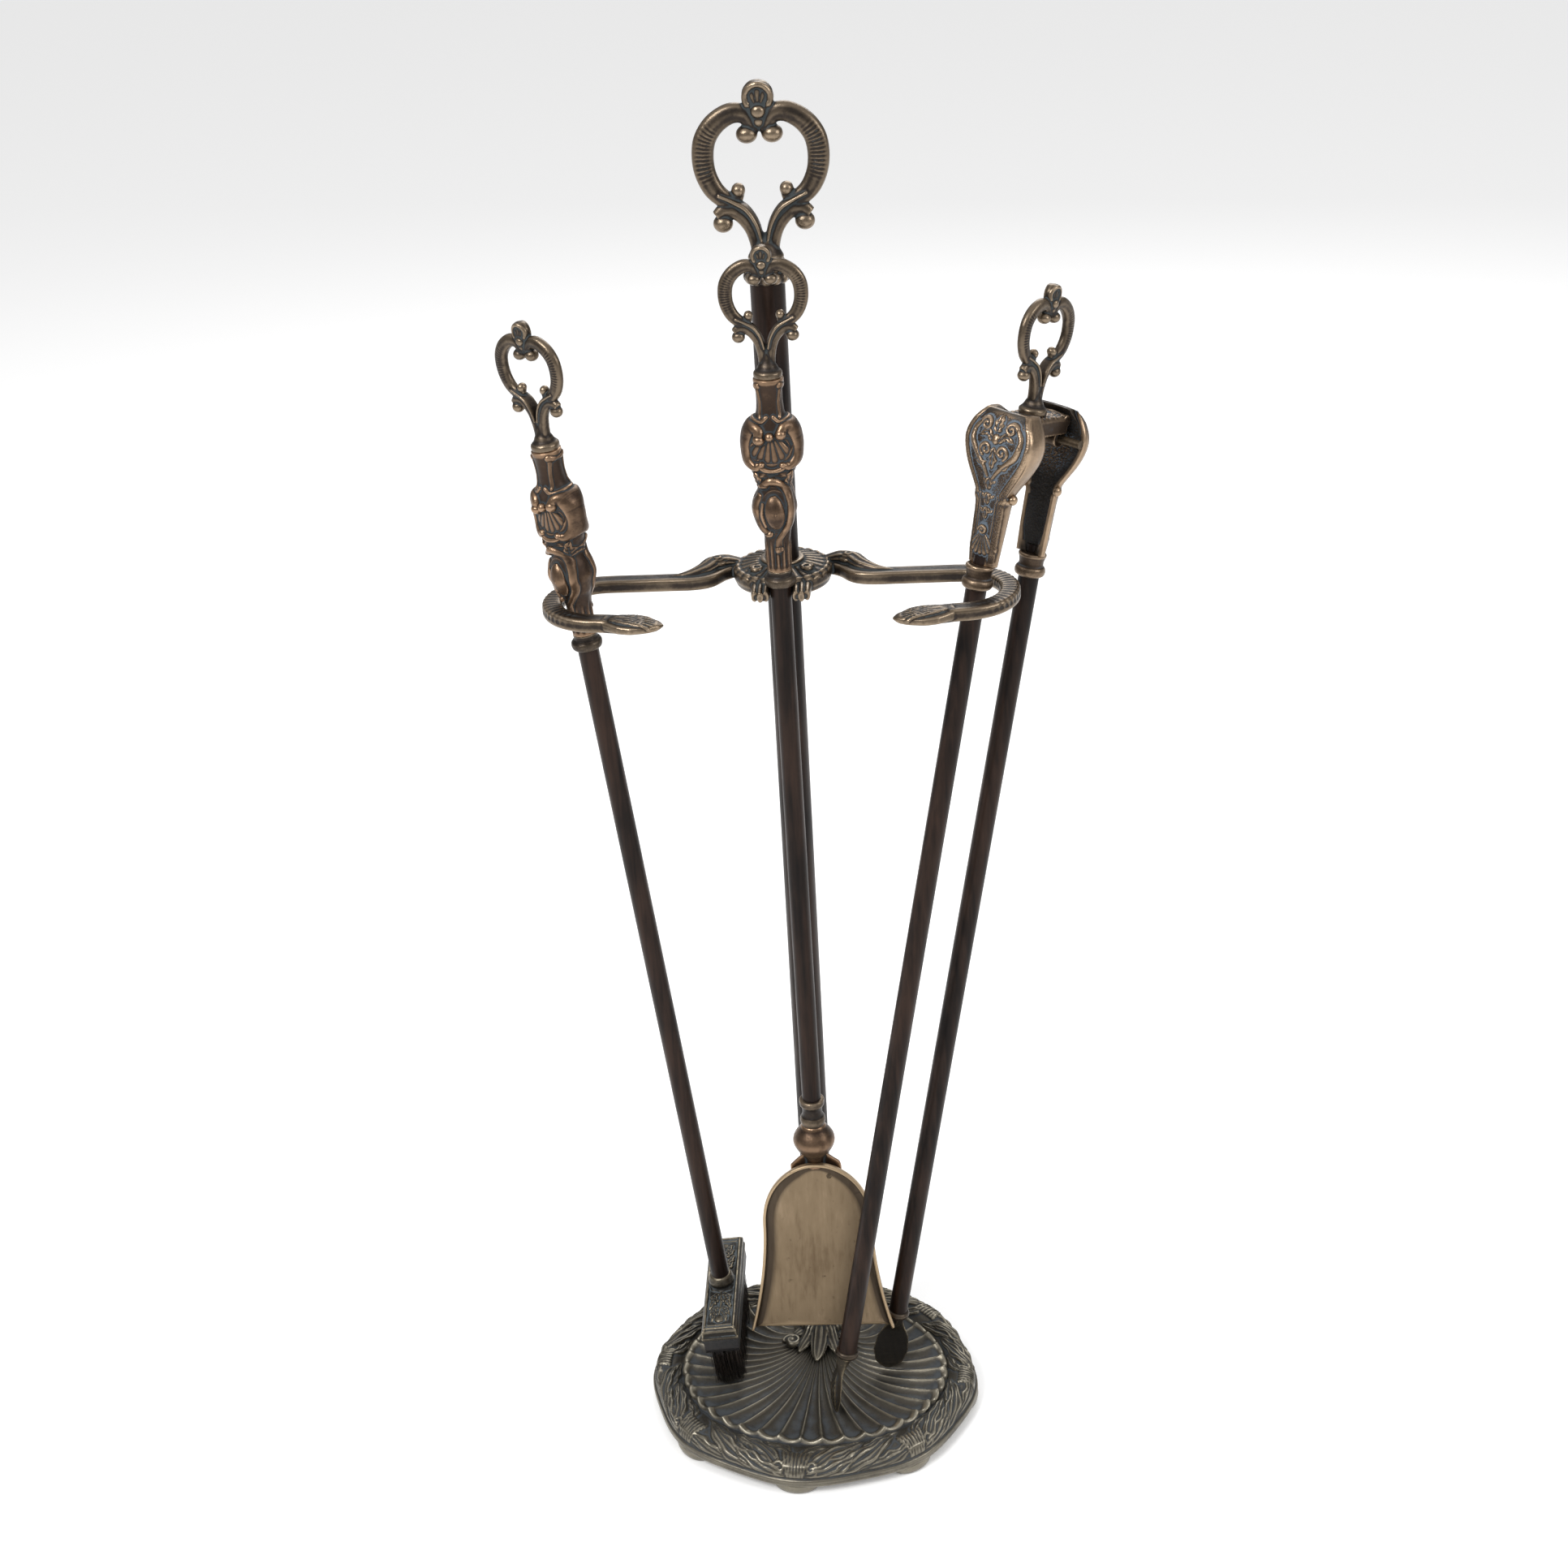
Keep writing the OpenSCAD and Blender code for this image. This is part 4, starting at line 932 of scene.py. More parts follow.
def loop_shape(foot):
    """The open heart with its volutes and shell finial. foot adds a flange below."""
    shape = Shape()
    half = loop_half()
    shape.join(half).join(half, mirror_x=True)
    shape.join(turned([(48.4, 1.6), (49.6, 2.8), (51.6, 3.9), (54.6, 4.6), (57.2, 4.3),
                       (59.2, 2.6), (59.9, 0.4)], 60, 80, [(48, 2.6), (54, 2.6), (60, 2.2)],
                      finial_relief))
    shape.join(ball((0, 0, 48.6), 2.2, 2.6, 2.4))
    if foot:
        shape.join(turned([(0, 5.8), (0.8, 6.5), (2.6, 6.6), (3.6, 5.9), (4.4, 5.0),
                           (6.0, 4.2), (8.0, 3.2), (11.0, 2.4), (14, 1.0)], 60, 60))
    else:
        shape.join(turned([(8.1, 5.1), (9.0, 5.4), (10.4, 4.7), (12.5, 3.6), (14.5, 2.4),
                           (16, 0.6)], 40, 60))
    return shape


def scaled(shape, factor):
    shape.points = [p * factor for p in shape.points]
    return shape


def build_loop(name, place, height, turn, body, nodes):
    piece(name, loop_shape(True),
          inside(place, (0, 0, height), Matrix.Rotation(turn, 3, "Z")),
          CASTING, body, nodes, voxel=0.34, rounds=2)


def build_post_handle():
    factor = 1.515
    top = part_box("post_handle")[1].z * 1000
    piece("post_loop", scaled(loop_shape(False), factor), inside(POST, (0, 0, top - 60 * factor)),
          CASTING, "stand", ["post_handle"], voxel=0.42, rounds=2)


# -- hanger

def boxy(power=4.0):
    """Makes a swept bar square in section, with soft corners."""
    def bump(t, a):
        return (np.abs(np.cos(a)) ** power + np.abs(np.sin(a)) ** power) ** (-1 / power)
    return bump


def arm_bump(t, a):
    """Square section, a sunk channel on top and cross fluting round the hook."""
    square = boxy(5.0)(t, a)
    top = np.exp(-((a - math.pi / 2) / 0.5) ** 2)
    hook = np.clip((t - 0.47) * 12, 0, 1) * np.clip((0.84 - t) * 12, 0, 1)
    return square * (1 - 0.13 * top * (1 - hook)
                     - 0.07 * hook * (0.5 + 0.5 * np.cos(2 * math.pi * 56 * t)) * (
                         np.sin(a) > -0.2))


def hanger_arm_shape(top):
    """The right arm about the post: S-shaped root, straight bar, hook and leaf."""
    mid = top - 3.3
    bar = [(17, 7, mid), (24, 6.5, mid), (30.5, 1.5, mid), (36, -6.2, mid), (43, -8.9, mid),
           (54, -9, mid), (70, -9, mid), (83, -9, mid)]
    hook = [(83 + 24 * math.sin(k), -33 + 24 * math.cos(k), mid)
            for k in np.linspace(0.3, math.pi - 0.25, 8)]
    line = smooth_line(bar + hook + [(82, -57.2, mid), (76, -58.4, mid), (70, -60, mid)], 220)
    arm = sweep(line, [5.2, 5.0, 4.7, 4.7, 4.8, 4.8, 4.8, 4.8, 4.8, 5.2], [3.3, 3.3], (0, 0, 1),
                48, arm_bump)
    # leaf end
    rows, cols = 70, 90
    t = np.linspace(0, 1, rows)[:, None]
    v = np.linspace(0, 2 * math.pi, cols, endpoint=False)[None, :]
    axis = smooth_line([(80, -57.6), (72, -60.2), (63, -62.2), (52.2, -62.8)], rows)
    half = np.interp(t, [0, 0.12, 0.35, 0.55, 0.8, 0.95, 1], [4.6, 5.4, 7.6, 8.0, 6.0, 3.0, 0.4])
    direction = np.gradient(axis, axis=0)
    direction /= np.linalg.norm(direction, axis=1)[:, None]
    side = np.column_stack([-direction[:, 1], direction[:, 0]])
    across = half * np.cos(v)
    lift = np.interp(t, [0, 0.5, 0.9, 1], [3.2, 2.7, 1.9, 0.4]) * np.sign(np.sin(v)) * (
        np.abs(np.sin(v)) ** 0.55)
    surface = np.stack([axis[:, :1] + side[:, :1] * across, axis[:, 1:] + side[:, 1:] * across,
                        mid + 0.2 + lift], -1)
    H = np.zeros((rows, cols))
    length = 28 * (1 - t) + 0 * v
    A, B = across, length
    for k in (-3, -2, -1, 0, 1, 2, 3):
        leaf(H, A, B, smooth_line([(k * 0.7, 25), (k * 1.5, 14), (k * 2.1, 3.4)], 12),
             1.05, 1.1, veins=1, lobes=1, cup=0.5)
    H *= (np.sin(v) > 0)
    return arm.join(tube_shape(raised(surface, H)))


def root_scroll(top):
    """The leaf that curls up where an arm leaves the plate."""
    scroll = Shape()
    scroll.join(sweep(smooth_line([(53, -8.4, top - 1), (45, -7.0, top - 0.2),
                                   (38, -2.4, top + 0.6), (33, 3.4, top + 1.6),
                                   (27, 6.4, top + 1.4), (20, 7.6, top)], 60),
                      [0.8, 2.6, 4.0, 4.6, 4.4, 3.0], [0.8, 1.6, 2.2, 2.6, 2.4, 1.4], (0, 0, 1), 40,
                      lambda t, a: 1 + 0.09 * np.cos(7 * a) * np.ones_like(t)))
    for r, height in ((4.4, 2.4), (3.0, 3.5), (1.6, 4.4)):
        ring = spiral((31.5, 3.4), r, r * 0.8, 30, 0.9, 40, "xy")
        ring[:, 2] = top + height - 0.8
        scroll.join(sweep(ring, [0.5, 0.9, 0.5], [0.9, 1.0, 0.9], (0, 0, 1), 14))
    scroll.join(ball((31.5, 3.4, top + 1.2), 4.6, 4.2, 2.9))
    return scroll


def plate_shape(top):
    """The domed plate round the post, with radiating shell flutes."""
    rows, cols = 70, 360
    r = np.linspace(8.2, 23.2, rows)[:, None]
    a = np.linspace(0, 2 * math.pi, cols, endpoint=False)[None, :]
    flutes = 26
    phase = np.abs(np.sin(flutes / 2 * a))
    edge = 1 + 0.02 * phase * (r > 18)
    height = top + 3.0 - 3.4 * ((r - 8) / 15) ** 1.6 + 0.75 * phase ** 0.7 * np.clip(
        (r - 9.5) / 3, 0, 1)
    height += 0.8 * np.exp(-((r - 21.4) / 0.9) ** 2) + 0 * a
    upper = np.stack([r * edge * np.sin(a), -r * edge * np.cos(a), height], -1)
    low = top - 7
    rim = [(23.6, top - 1.6), (23.6, top - 4), (22.4, low), (9, low)]
    under = [np.stack([q * np.sin(a[0]), -q * np.cos(a[0]), np.full(cols, z)], -1)
             for q, z in rim]
    return tube_shape(np.concatenate([upper, np.array(under)]))


def build_hanger():
    top = 474.0
    shape = plate_shape(top)
    arm = hanger_arm_shape(top).join(root_scroll(top))
    shape.join(arm).join(arm, mirror_x=True)
    shape.join(turned([(top - 1, 11.4), (top + 1.2, 11.2), (top + 2.4, 10.2), (top + 4.6, 10.4),
                       (top + 5, 9)], 30, 60))
    for side in (-1, 1):
        for k, (reach, high) in enumerate(((30.6, 6.2), (31.4, 6.8), (30.2, 6.0))):
            x = side * (7.0 + 2.7 * k)
            line = smooth_line([(x, -18, top - 3.6), (x, -25, top - 3.4), (x, -reach, top - 3.9)],
                               24)
            shape.join(sweep(line, [1.9, 1.9, 1.8, 1.4], [3.2, high / 2, high / 2, 2.6],
                             (0, 0, 1), 22))
        curl = spiral((side * 12.2, -10.5), 3.4, 1.0, 90 - side * 60, side * 1.1, 40, "xy")
        curl[:, 2] = top + 2.4
        shape.join(sweep(curl, [0.8, 1.2, 1.3], [1.2, 1.6, 1.8], (0, 0, 1), 16))
    piece("hanger_cast", shape, POST, CASTING, "stand", ["hanger"], voxel=0.42,
          rounds=1)


# -- shovel

def build_knuckle():
    top = 145.0
    ball_z = 158.6
    shape = turned([(ball_z - 17, 4.6), (ball_z - 13, 4.4), (ball_z - 9, 6.2),
                    (ball_z - 5, 9.2), (ball_z - 1, 11.0), (ball_z + 2, 10.9),
                    (ball_z + 5, 9.4), (ball_z + 8, 7.2), (ball_z + 9.6, 6.4),
                    (ball_z + 10.5, 5.8)], 80, 72)
    tang = [(-13.5, -3.2), (-9.5, 0.6), (-5.4, 4.0), (-4.4, 8.0), (4.4, 8.0), (5.4, 4.0),
            (9.5, 0.6), (13.5, -3.2), (12.5, -12.5), (4, -18), (-4, -18), (-12.5, -12.5)]
    outline = smooth_line(tang + tang[:1], 97)[:-1]
    rings = []
    lean = np.array(Matrix.Rotation(-PAN_TILT, 3, "X"))
    for y, inset in ((0.4, 1.0), (0.6, 0.3), (1.0, 0), (2.4, 0), (3.0, 0.4), (3.0, 2.0)):
        shrunk = outline * (1 - inset / 14)
        ring = np.column_stack([shrunk[:, 0], np.full(96, y), shrunk[:, 1]])
        rings.append(ring @ lean.T + (0, 0, top))
    shape.join(tube_shape(rings))
    piece("shovel_knuckle_cast", shape, SHOVEL, GRIP_BRASS, "shovel", ["shovel_knuckle"],
          voxel=0.4, rounds=3)


PAN_TILT = math.radians(9.5)
PAN_LEN, PAN_WAIST, PAN_ARCH, PAN_HALF = 99.0, 29.4, 0.35, 39.0
PAN_FLAT_IN = 5.5


def pan_half(t):
    arch = PAN_WAIST * np.sqrt(np.clip(1 - (1 - np.minimum(t / PAN_ARCH, 1)) ** 2.2, 0, 1))
    flare = (PAN_HALF - PAN_WAIST) * (np.clip(t - PAN_ARCH, 0, 1) / (1 - PAN_ARCH)) ** 1.9
    return arch + flare


def build_pan():
    """Bent sheet: a flat face with a rim turned up on three sides."""
    n = 90
    t = (1 - np.cos(np.linspace(0, math.pi / 2, n))) ** 1.15
    path = [(0.8, 6.4), (0.8, 5.4), (0.8, 4.4), (0.86, 3.4), (1.1, 2.5), (1.7, 1.7), (2.6, 1.15),
            (3.8, 0.85), (5.5, 0.8), (9, 0.8), (14, 0.8), (20, 0.8), (26, 0.8), (39, 0.8)]
    rings = []
    for inset, height in path:
        edge_in = min(inset, PAN_FLAT_IN)
        x = np.maximum(pan_half(t) - edge_in * np.minimum(1, pan_half(t) / 14), 0)
        z = -edge_in * (1 - t) - t * PAN_LEN
        inward = (inset - edge_in) / (PAN_HALF - PAN_FLAT_IN)
        x = x * (1 - inward)
        z = z + inward * (-14 - t * (PAN_LEN - 14) - z)
        side = np.column_stack([x, np.full(n, -height), z])
        rings.append(np.vstack([side[::-1] * (-1, 1, 1), side]))
    rings = np.array(rings)
    sag = 0.15 * np.sin(rings[..., 0] * 0.11) * np.sin(rings[..., 2] * 0.05 + 1)
    rings[..., 1] += sag * (rings[..., 1] > -1.2)
    faces = grid_faces(len(path), 2 * n, False)
    shape = Shape().add(rings, faces)
    place = inside(SHOVEL, (0, 0, 145.0), Matrix.Rotation(-PAN_TILT, 3, "X"))
    points, quads, tris = shape.arrays()
    obj = bpy.data.objects.new("pan_sheet", make_mesh("pan_sheet", at(place, points), quads, tris))
    bpy.context.scene.collection.objects.link(obj)
    weld = obj.modifiers.new("weld", "WELD")
    weld.merge_threshold = 0.02 * MM
    thick = obj.modifiers.new("thick", "SOLIDIFY")
    thick.thickness, thick.offset = 1.6 * MM, 0
    soft = obj.modifiers.new("soft", "BEVEL")
    soft.width, soft.segments, soft.limit_method = 0.45 * MM, 2, "ANGLE"
    soft.angle_limit = math.radians(50)
    bpy.context.view_layer.update()
    mesh = bpy.data.meshes.new_from_object(
        obj.evaluated_get(bpy.context.evaluated_depsgraph_get()))
    obj.modifiers.clear()
    obj.data = mesh
    mesh.polygons.foreach_set("use_smooth", np.ones(len(mesh.polygons), bool))
    mesh.set_sharp_from_angle(angle=math.radians(45))
    mark_relief(mesh, 2, 8)
    mesh.materials.append(PAN)
    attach(obj, "shovel")
    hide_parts("shovel_pan")


# -- brush

def slab(width, length, low, high, corner, relief=None, nx=60, ny=200):
    """A block with rounded top edges and a relief on its top face."""
    def profile(size, count):
        flat = size / 2 - corner
        k = np.linspace(0, math.pi / 2, 7)[1:]
        edge_x = flat + corner * np.sin(k)
        edge_drop = corner * (1 - np.cos(k))
        down = np.linspace(0, 1, 5)[1:]
        x = np.concatenate([np.linspace(0, flat, count // 2), edge_x, np.full(4, size / 2)])
        drop = np.concatenate([np.zeros(count // 2), edge_drop,
                               corner + down * (high - low - corner)])
        return (np.concatenate([-x[:0:-1], x]), np.concatenate([drop[:0:-1], drop]))
    x, drop_x = profile(width, nx)
    y, drop_y = profile(length, ny)
    X, Y = np.meshgrid(x, y, indexing="ij")
    drop = np.maximum(drop_x[:, None], drop_y[None, :])
    Z = high - drop
    if relief is not None:
        top = np.clip(1 - drop / corner, 0, 1)
        Z = Z + relief(X, Y) * top
    rows, cols = X.shape
    points = np.stack([X, Y, Z], -1).reshape(-1, 3)
    faces = grid_faces(rows, cols, False)[:, ::-1]
    border = np.concatenate([
        np.arange(cols), np.arange(1, rows) * cols + cols - 1,
        (rows - 1) * cols + np.arange(cols - 2, -1, -1), np.arange(rows - 2, 0, -1) * cols])
    middle = len(points)
    points = np.vstack([points, [[0, 0, low]]])
    tris = np.column_stack([border, np.roll(border, -1), np.full(len(border), middle)])
    return Shape().add(points, faces, tris)


def cover_relief(X, Y):
    """Acanthus sprays between raised borders, running both ways from the socket."""
    H = np.zeros(X.shape)
    for side in (-1, 1):
        ridge(H, X, Y, [(side * 7.9, -37), (side * 7.9, 37)], 0.8, 0.9)
        ridge(H, X, Y, [(-8, side * 36.6), (8, side * 36.6)], 0.9, 1.0)
        ridge(H, X, Y, [(-7, side * 34.2), (7, side * 34.2)], 0.5, 0.6)
        for end in (-1, 1):
            for (y0, y1, x1, w, h) in ((9, 17, 5.2, 1.7, 1.5), (14, 22, 6.0, 1.8, 1.6),
                                       (20, 27, 5.4, 1.6, 1.5), (23, 31.5, 4.0, 1.5, 1.4)):
                line = smooth_line([(side * 0.4, end * y0), (side * x1 * 0.6, end * (y0 + 2.5)),
                                    (side * x1, end * y1)], 12)
                leaf(H, X, Y, line, w, h, veins=4)
            ridge(H, X, Y, flat_spiral((side * 3.6, end * 12.4), 2.2, 0.5, 90 * end,
                                       side * 1.2), 0.55, 1.3)
    ridge(H, X, Y, smooth_line([(0, 9), (0.4, 18), (-0.3, 27)], 12), 0.7, 1.5)
    ridge(H, X, Y, smooth_line([(0, -9), (0.4, -18), (-0.3, -27)], 12), 0.7, 1.5)
    return H


def build_brush():
    low, block, cover = 30.0, 8.5, 8.0
    base = low + block
    shape = slab(19, 77, base, base + cover - 1.6, 1.2, cover_relief)
    shape.join(slab(20.0, 78.0, base + 0.1, base + 2.2, 0.9, None, 20, 40))
    shape.join(turned([(base + 3, 8.4), (base + 6.2, 8.0), (base + 7.4, 7.0),
                       (base + 8.4, 6.8), (base + 10, 7.0), (base + 11.6, 6.7),
                       (base + 13.2, 6.1), (base + 14, 5.2)], 60, 72,
                      bump=lambda a, X, Z: 0.22 * np.cos(9 * a) * (Z < base + 7)))
    for end in (-1, 1):
        shape.join(scaled(ball((0, 0, 0), 2.9, 2.9, 1.3), 1.0).shifted(
            (0, end * 29.3, base + 6.6)))
    piece("brush_cover_cast", shape, BRUSH, COVER_BRASS, "brush",
          ["brush_cover", "brush_socket", "brush_screws"], voxel=0.3, rounds=1,
          steps=(3, 18))
    piece("brush_wood", slab(18.6, 76.6, low, base + 0.4, 0.5, None, 20, 60), BRUSH, BLACK_WOOD,
          "brush", ["brush_block"])
    build_bristles(low)


def build_bristles(top):
    """Stiff hairs in rows, splayed and worn a little unevenly at their tips."""
    half_w, half_l = 7.8, 36.0
    tufts_x, tufts_y, hairs = 6, 28, 15
    shape = Shape()
    starts, ends, bends = [], [], []
    for i in range(tufts_x):
        for j in range(tufts_y):
            cx = -half_w + 2 * half_w * (i + 0.5) / tufts_x
            cy = -half_l + 2 * half_l * (j + 0.5) / tufts_y
            clump = RNG.normal(0, 0.6, 2)
            for _ in range(hairs):
                root = np.array([cx, cy]) + RNG.normal(0, 0.55, 2)
                spread = root * (0.93, 0.9) + clump + RNG.normal(0, 0.75, 2)
                low = 1.2 + RNG.gamma(1.5, 0.8)
                shy = max(0.0, spread[1] - 17.5)
                tip = np.array([spread[0], spread[1] - 0.55 * shy, low + 0.35 * shy])
                starts.append([*root, top + 0.5])
                ends.append(tip)
                bends.append(RNG.normal(0, 0.5, 2))
    starts, ends, bends = np.array(starts), np.array(ends), np.array(bends)
    levels = np.linspace(0, 1, 5)
    count = len(starts)
    width = 0.17 + 0.05 * RNG.random(count)
    rings = []
    for t in levels:
        middle = starts + (ends - starts) * t
        middle[:, :2] += bends * math.sin(math.pi * t)
        size = width * (1 - 0.45 * t)
        ring = [middle + np.column_stack([size * math.cos(k), size * math.sin(k), 0 * size])
                for k in (0.3, 0.3 + 2.094, 0.3 + 4.189)]
        rings.append(np.stack(ring, 1))
    points = np.stack(rings, 1)
    quad = grid_faces(5, 3, True)
    quads = (np.arange(count)[:, None, None] * 15 + quad[None]).reshape(-1, 4)
    tris = np.array([[0, 2, 1], [12, 13, 14]])
    tris = (np.arange(count)[:, None, None] * 15 + tris[None]).reshape(-1, 3)
    shape.add(points.reshape(-1, 3), quads, tris)
    piece("bristle_tufts", shape, BRUSH, BRISTLE, "brush", ["brush_bristles"])


# -- tongs

BEAD_LOW, ARM_LOW, ARM_HIGH, CROWN_TOP, LEG_OUT = 462.5, 474.5, 546.0, 543.0, 21.0
LEFT_DROP = 7.0
ARM_CARVED = 73  # length that the carving is laid out over
# Wall depths from an arm's foot to its top. The real arms are alike: the right one is kept
# shallow here, so that its dark hollow shows from the photograph's side.
LEFT_WALLS = (3.6, 4.6, 5.6, 7.2, 8.8, 10.0)
RIGHT_WALLS = (3.6, 3.8, 3.4, 2.6, 2.2, 2.2)


def arm_half(t):
    """Half of an arm's width, from its foot at 0 to its top at 1."""
    lower = 7.3 + 1.8 * t
    middle = 8.1 + 10.2 * np.sin(np.clip((t - 0.45) / 0.35, 0, 1) * math.pi / 2) ** 1.3
    upper = 11.8 + 6.5 * np.cos(np.clip((t - 0.8) / 0.2, 0, 1) * math.pi / 2)
    half = np.where(t < 0.45, lower, np.where(t < 0.8, middle, upper))
    return half + 0.9 * np.exp(-((t - 0.44) / 0.018) ** 2)


def arm_relief(V, Z):
    """Cartouche of C-scrolls above, a drop of husks and a shell below."""
    H = np.zeros(V.shape)
    t = np.linspace(0.02, 0.98, 60)
    for side in (-1, 1):
        edge = np.column_stack([side * (arm_half(t) - 1.5), t * ARM_CARVED])
        ridge(H, V, Z, edge, 1.5, 1.5)
        inner = np.column_stack([side * (arm_half(t[6:28]) - 3.6),
                                 t[6:28] * ARM_CARVED])
        ridge(H, V, Z, inner, 0.45, 0.6)
    right = [(9.5, 66), (12.6, 62), (12.4, 56.5), (8.6, 51), (4.4, 46.6), (1.4, 42)]
    left = [(-9.5, 66.5), (-12.8, 61), (-11.6, 54), (-7.8, 49.6), (-4.0, 45.4), (-1.2, 41)]
    for line, way in ((right, 1), (left, -1)):
        ridge(H, V, Z, smooth_line(line, 40), [1.0, 1.5, 1.6, 1.3, 0.9], [1.4, 1.9, 1.8, 1.3])
        ridge(H, V, Z, flat_spiral((way * 6.9, 65.0), 3.0, 0.7, 20 if way > 0 else 160,
                                   way * 1.3), [1.1, 1.0, 0.9], 1.8)
        ridge(H, V, Z, flat_spiral((way * 4.4, 54.0), 3.3, 0.8, -60 if way > 0 else 240,
                                   way * 1.2), [1.0, 0.9], 1.6)
        leaf(H, V, Z, smooth_line([(way * 1.0, 58), (way * 5.0, 61.5), (way * 9.6, 59.5)], 12),
             1.9, 1.4, veins=4)
        leaf(H, V, Z, smooth_line([(way * 3.0, 48), (way * 6.8, 47.5), (way * 9.6, 51.4)], 12),
             1.4, 1.2, veins=3)
    dome(H, V, Z, (0, 59.5), 2.2, 2.6, 2.0)
    leaf(H, V, Z, smooth_line([(0, 62.0), (0.3, 66), (0, 70.6)], 12), 2.6, 1.7, veins=3)
    leaf(H, V, Z, smooth_line([(0, 56), (-0.4, 51), (0, 45)], 12), 2.2, 1.6, veins=4)
    for k, low in enumerate((35.5, 28.5, 21.5)):
        size = 2.3 - 0.3 * k
        leaf(H, V, Z, smooth_line([(0, low + 6.4), (0.2, low + 3), (0, low)], 10), size, 1.5,
             veins=2, lobes=2)
        for way in (-1, 1):
            leaf(H, V, Z, smooth_line([(way * 0.4, low + 5.8), (way * 2.2, low + 4.2),
                                       (way * 3.6, low + 5.4)], 8), 0.9, 1.2, veins=2)
    fan(H, V, Z, (0, 16.5), 12.0, -90, 92, 7, 1.9)
    ridge(H, V, Z, flat_spiral((0.2, 16.6), 2.2, 0.5, 0, 1.3), 0.8, 2.2)
    grain = RNG.normal(0, 0.05, V.shape)
    return H + grain


def arm_shape(depths):
    """One arm as a hollow shield with walls of those depths, from its foot to its top."""
    rows, face, turn = 190, 110, 9
    t = np.linspace(0, 1, rows)
    half = arm_half(t)
    outer = np.interp(t, [0, 0.35, 0.62, 0.8, 0.93, 1], [2.6, 3.0, 5.0, 5.2, 3.4, 0.6]) + LEG_OUT
    inner = LEG_OUT - np.interp(t, np.linspace(0, 1, len(depths)), depths)
    wall = np.interp(t, [0, 0.08, 0.16, 1], [5.0, 3.6, 2.4, 2.4])
    across = np.linspace(-1, 1, face)
    bow = 1 - np.abs(across) ** 2.6
    x_out = outer[:, None] - 2.2 * (1 - bow)[None, :]
    v_out = half[:, None] * across[None, :]
    Z = np.broadcast_to((t * (ARM_HIGH - ARM_LOW))[:, None], (rows, face))
    H = arm_relief(v_out, Z)
    fade = np.clip(t * 12, 0, 1) * np.clip((1 - t) * 30, 0, 1)
    front = np.stack([x_out + 0.85 * H * fade[:, None] - 0.9, v_out, Z], -1)
    k = np.linspace(0, 1, turn)[1:]
    edges = []
    for side in (1, -1):
        v_edge = side * (half[:, None] + 0.55 * np.sin(k * math.pi)[None, :])
        x_edge = (outer - 3.1)[:, None] * (1 - k) + inner[:, None] * k
        edges.append(np.stack([x_edge, v_edge, Z[:, :turn - 1]], -1))
        v_in = side * np.maximum(half - wall, 0.6)
        lip = np.stack([inner + 0.2, side * (half - wall * 0.5), Z[:, 0]], -1)[:, None, :]
        roll = np.stack([inner + 0.9, v_in, Z[:, 0]], -1)[:, None, :]
        edges.append(np.concatenate([lip, roll], 1))
    back_across = np.linspace(1, -1, 40)
    v_back = np.maximum(half - wall, 0.6)[:, None] * back_across[None, :]
    depth = (outer - 4.4)[:, None] - 1.4 * np.abs(back_across) ** 3
    floor = np.clip(t * 9, 0, 1)[:, None]
    x_back = (inner + 1.5)[:, None] * (1 - floor) + depth * floor
    back = np.stack([x_back + RNG.normal(0, 0.12, x_back.shape), v_back,
                     Z[:, :40]], -1)
    down = np.linspace(0, 1, 9)[1:-1]
    x_wall = (inner + 0.9)[:, None] * (1 - down) + x_back[:, :1] * down
    walls = [np.stack([x_wall, np.broadcast_to(v_back[:, k][:, None], x_wall.shape),
                       Z[:, :7]], -1) for k in (0, -1)]
    rings = np.concatenate([front, edges[0], edges[1], walls[0], back, walls[1][:, ::-1],
                            edges[3][:, ::-1], edges[2][:, ::-1]], 1)
    return tube_shape(rings[:, ::-1])


def build_arms():
    for name, sign, body, depths in (
            ("left", -1, "tongs_left_leg", LEFT_WALLS),
            ("right", 1, "tongs", RIGHT_WALLS)):
        shape = Shape().join(arm_shape(depths), mirror_x=sign < 0)
        for side in (-1, 1):
            tab = ball((sign * (LEG_OUT - 3.4), side * 9.6, 32.5), 2.6, 1.9, 2.4)
            shape.join(tab)

        # painted shade: the inside of the hollow arm is marked to be painted near black, standing
        # in for the shadow within it
        def hollow(p, n, sign=sign):
            t = p[:, 2] / (ARM_HIGH - ARM_LOW)
            behind = np.clip((LEG_OUT + 0.6 - sign * p[:, 0]) / 0.8, 0, 1)
            return behind * np.clip((arm_half(t) - 1.75 - np.abs(p[:, 1])) / 0.5, 0, 1) * 0.9
        piece(f"{name}_arm_cast", shape, inside(TONGS, (0, 0, ARM_LOW)), ARM_BRASS, body,
              [f"{name}_arm"], steps=(3, 22), shade=hollow)


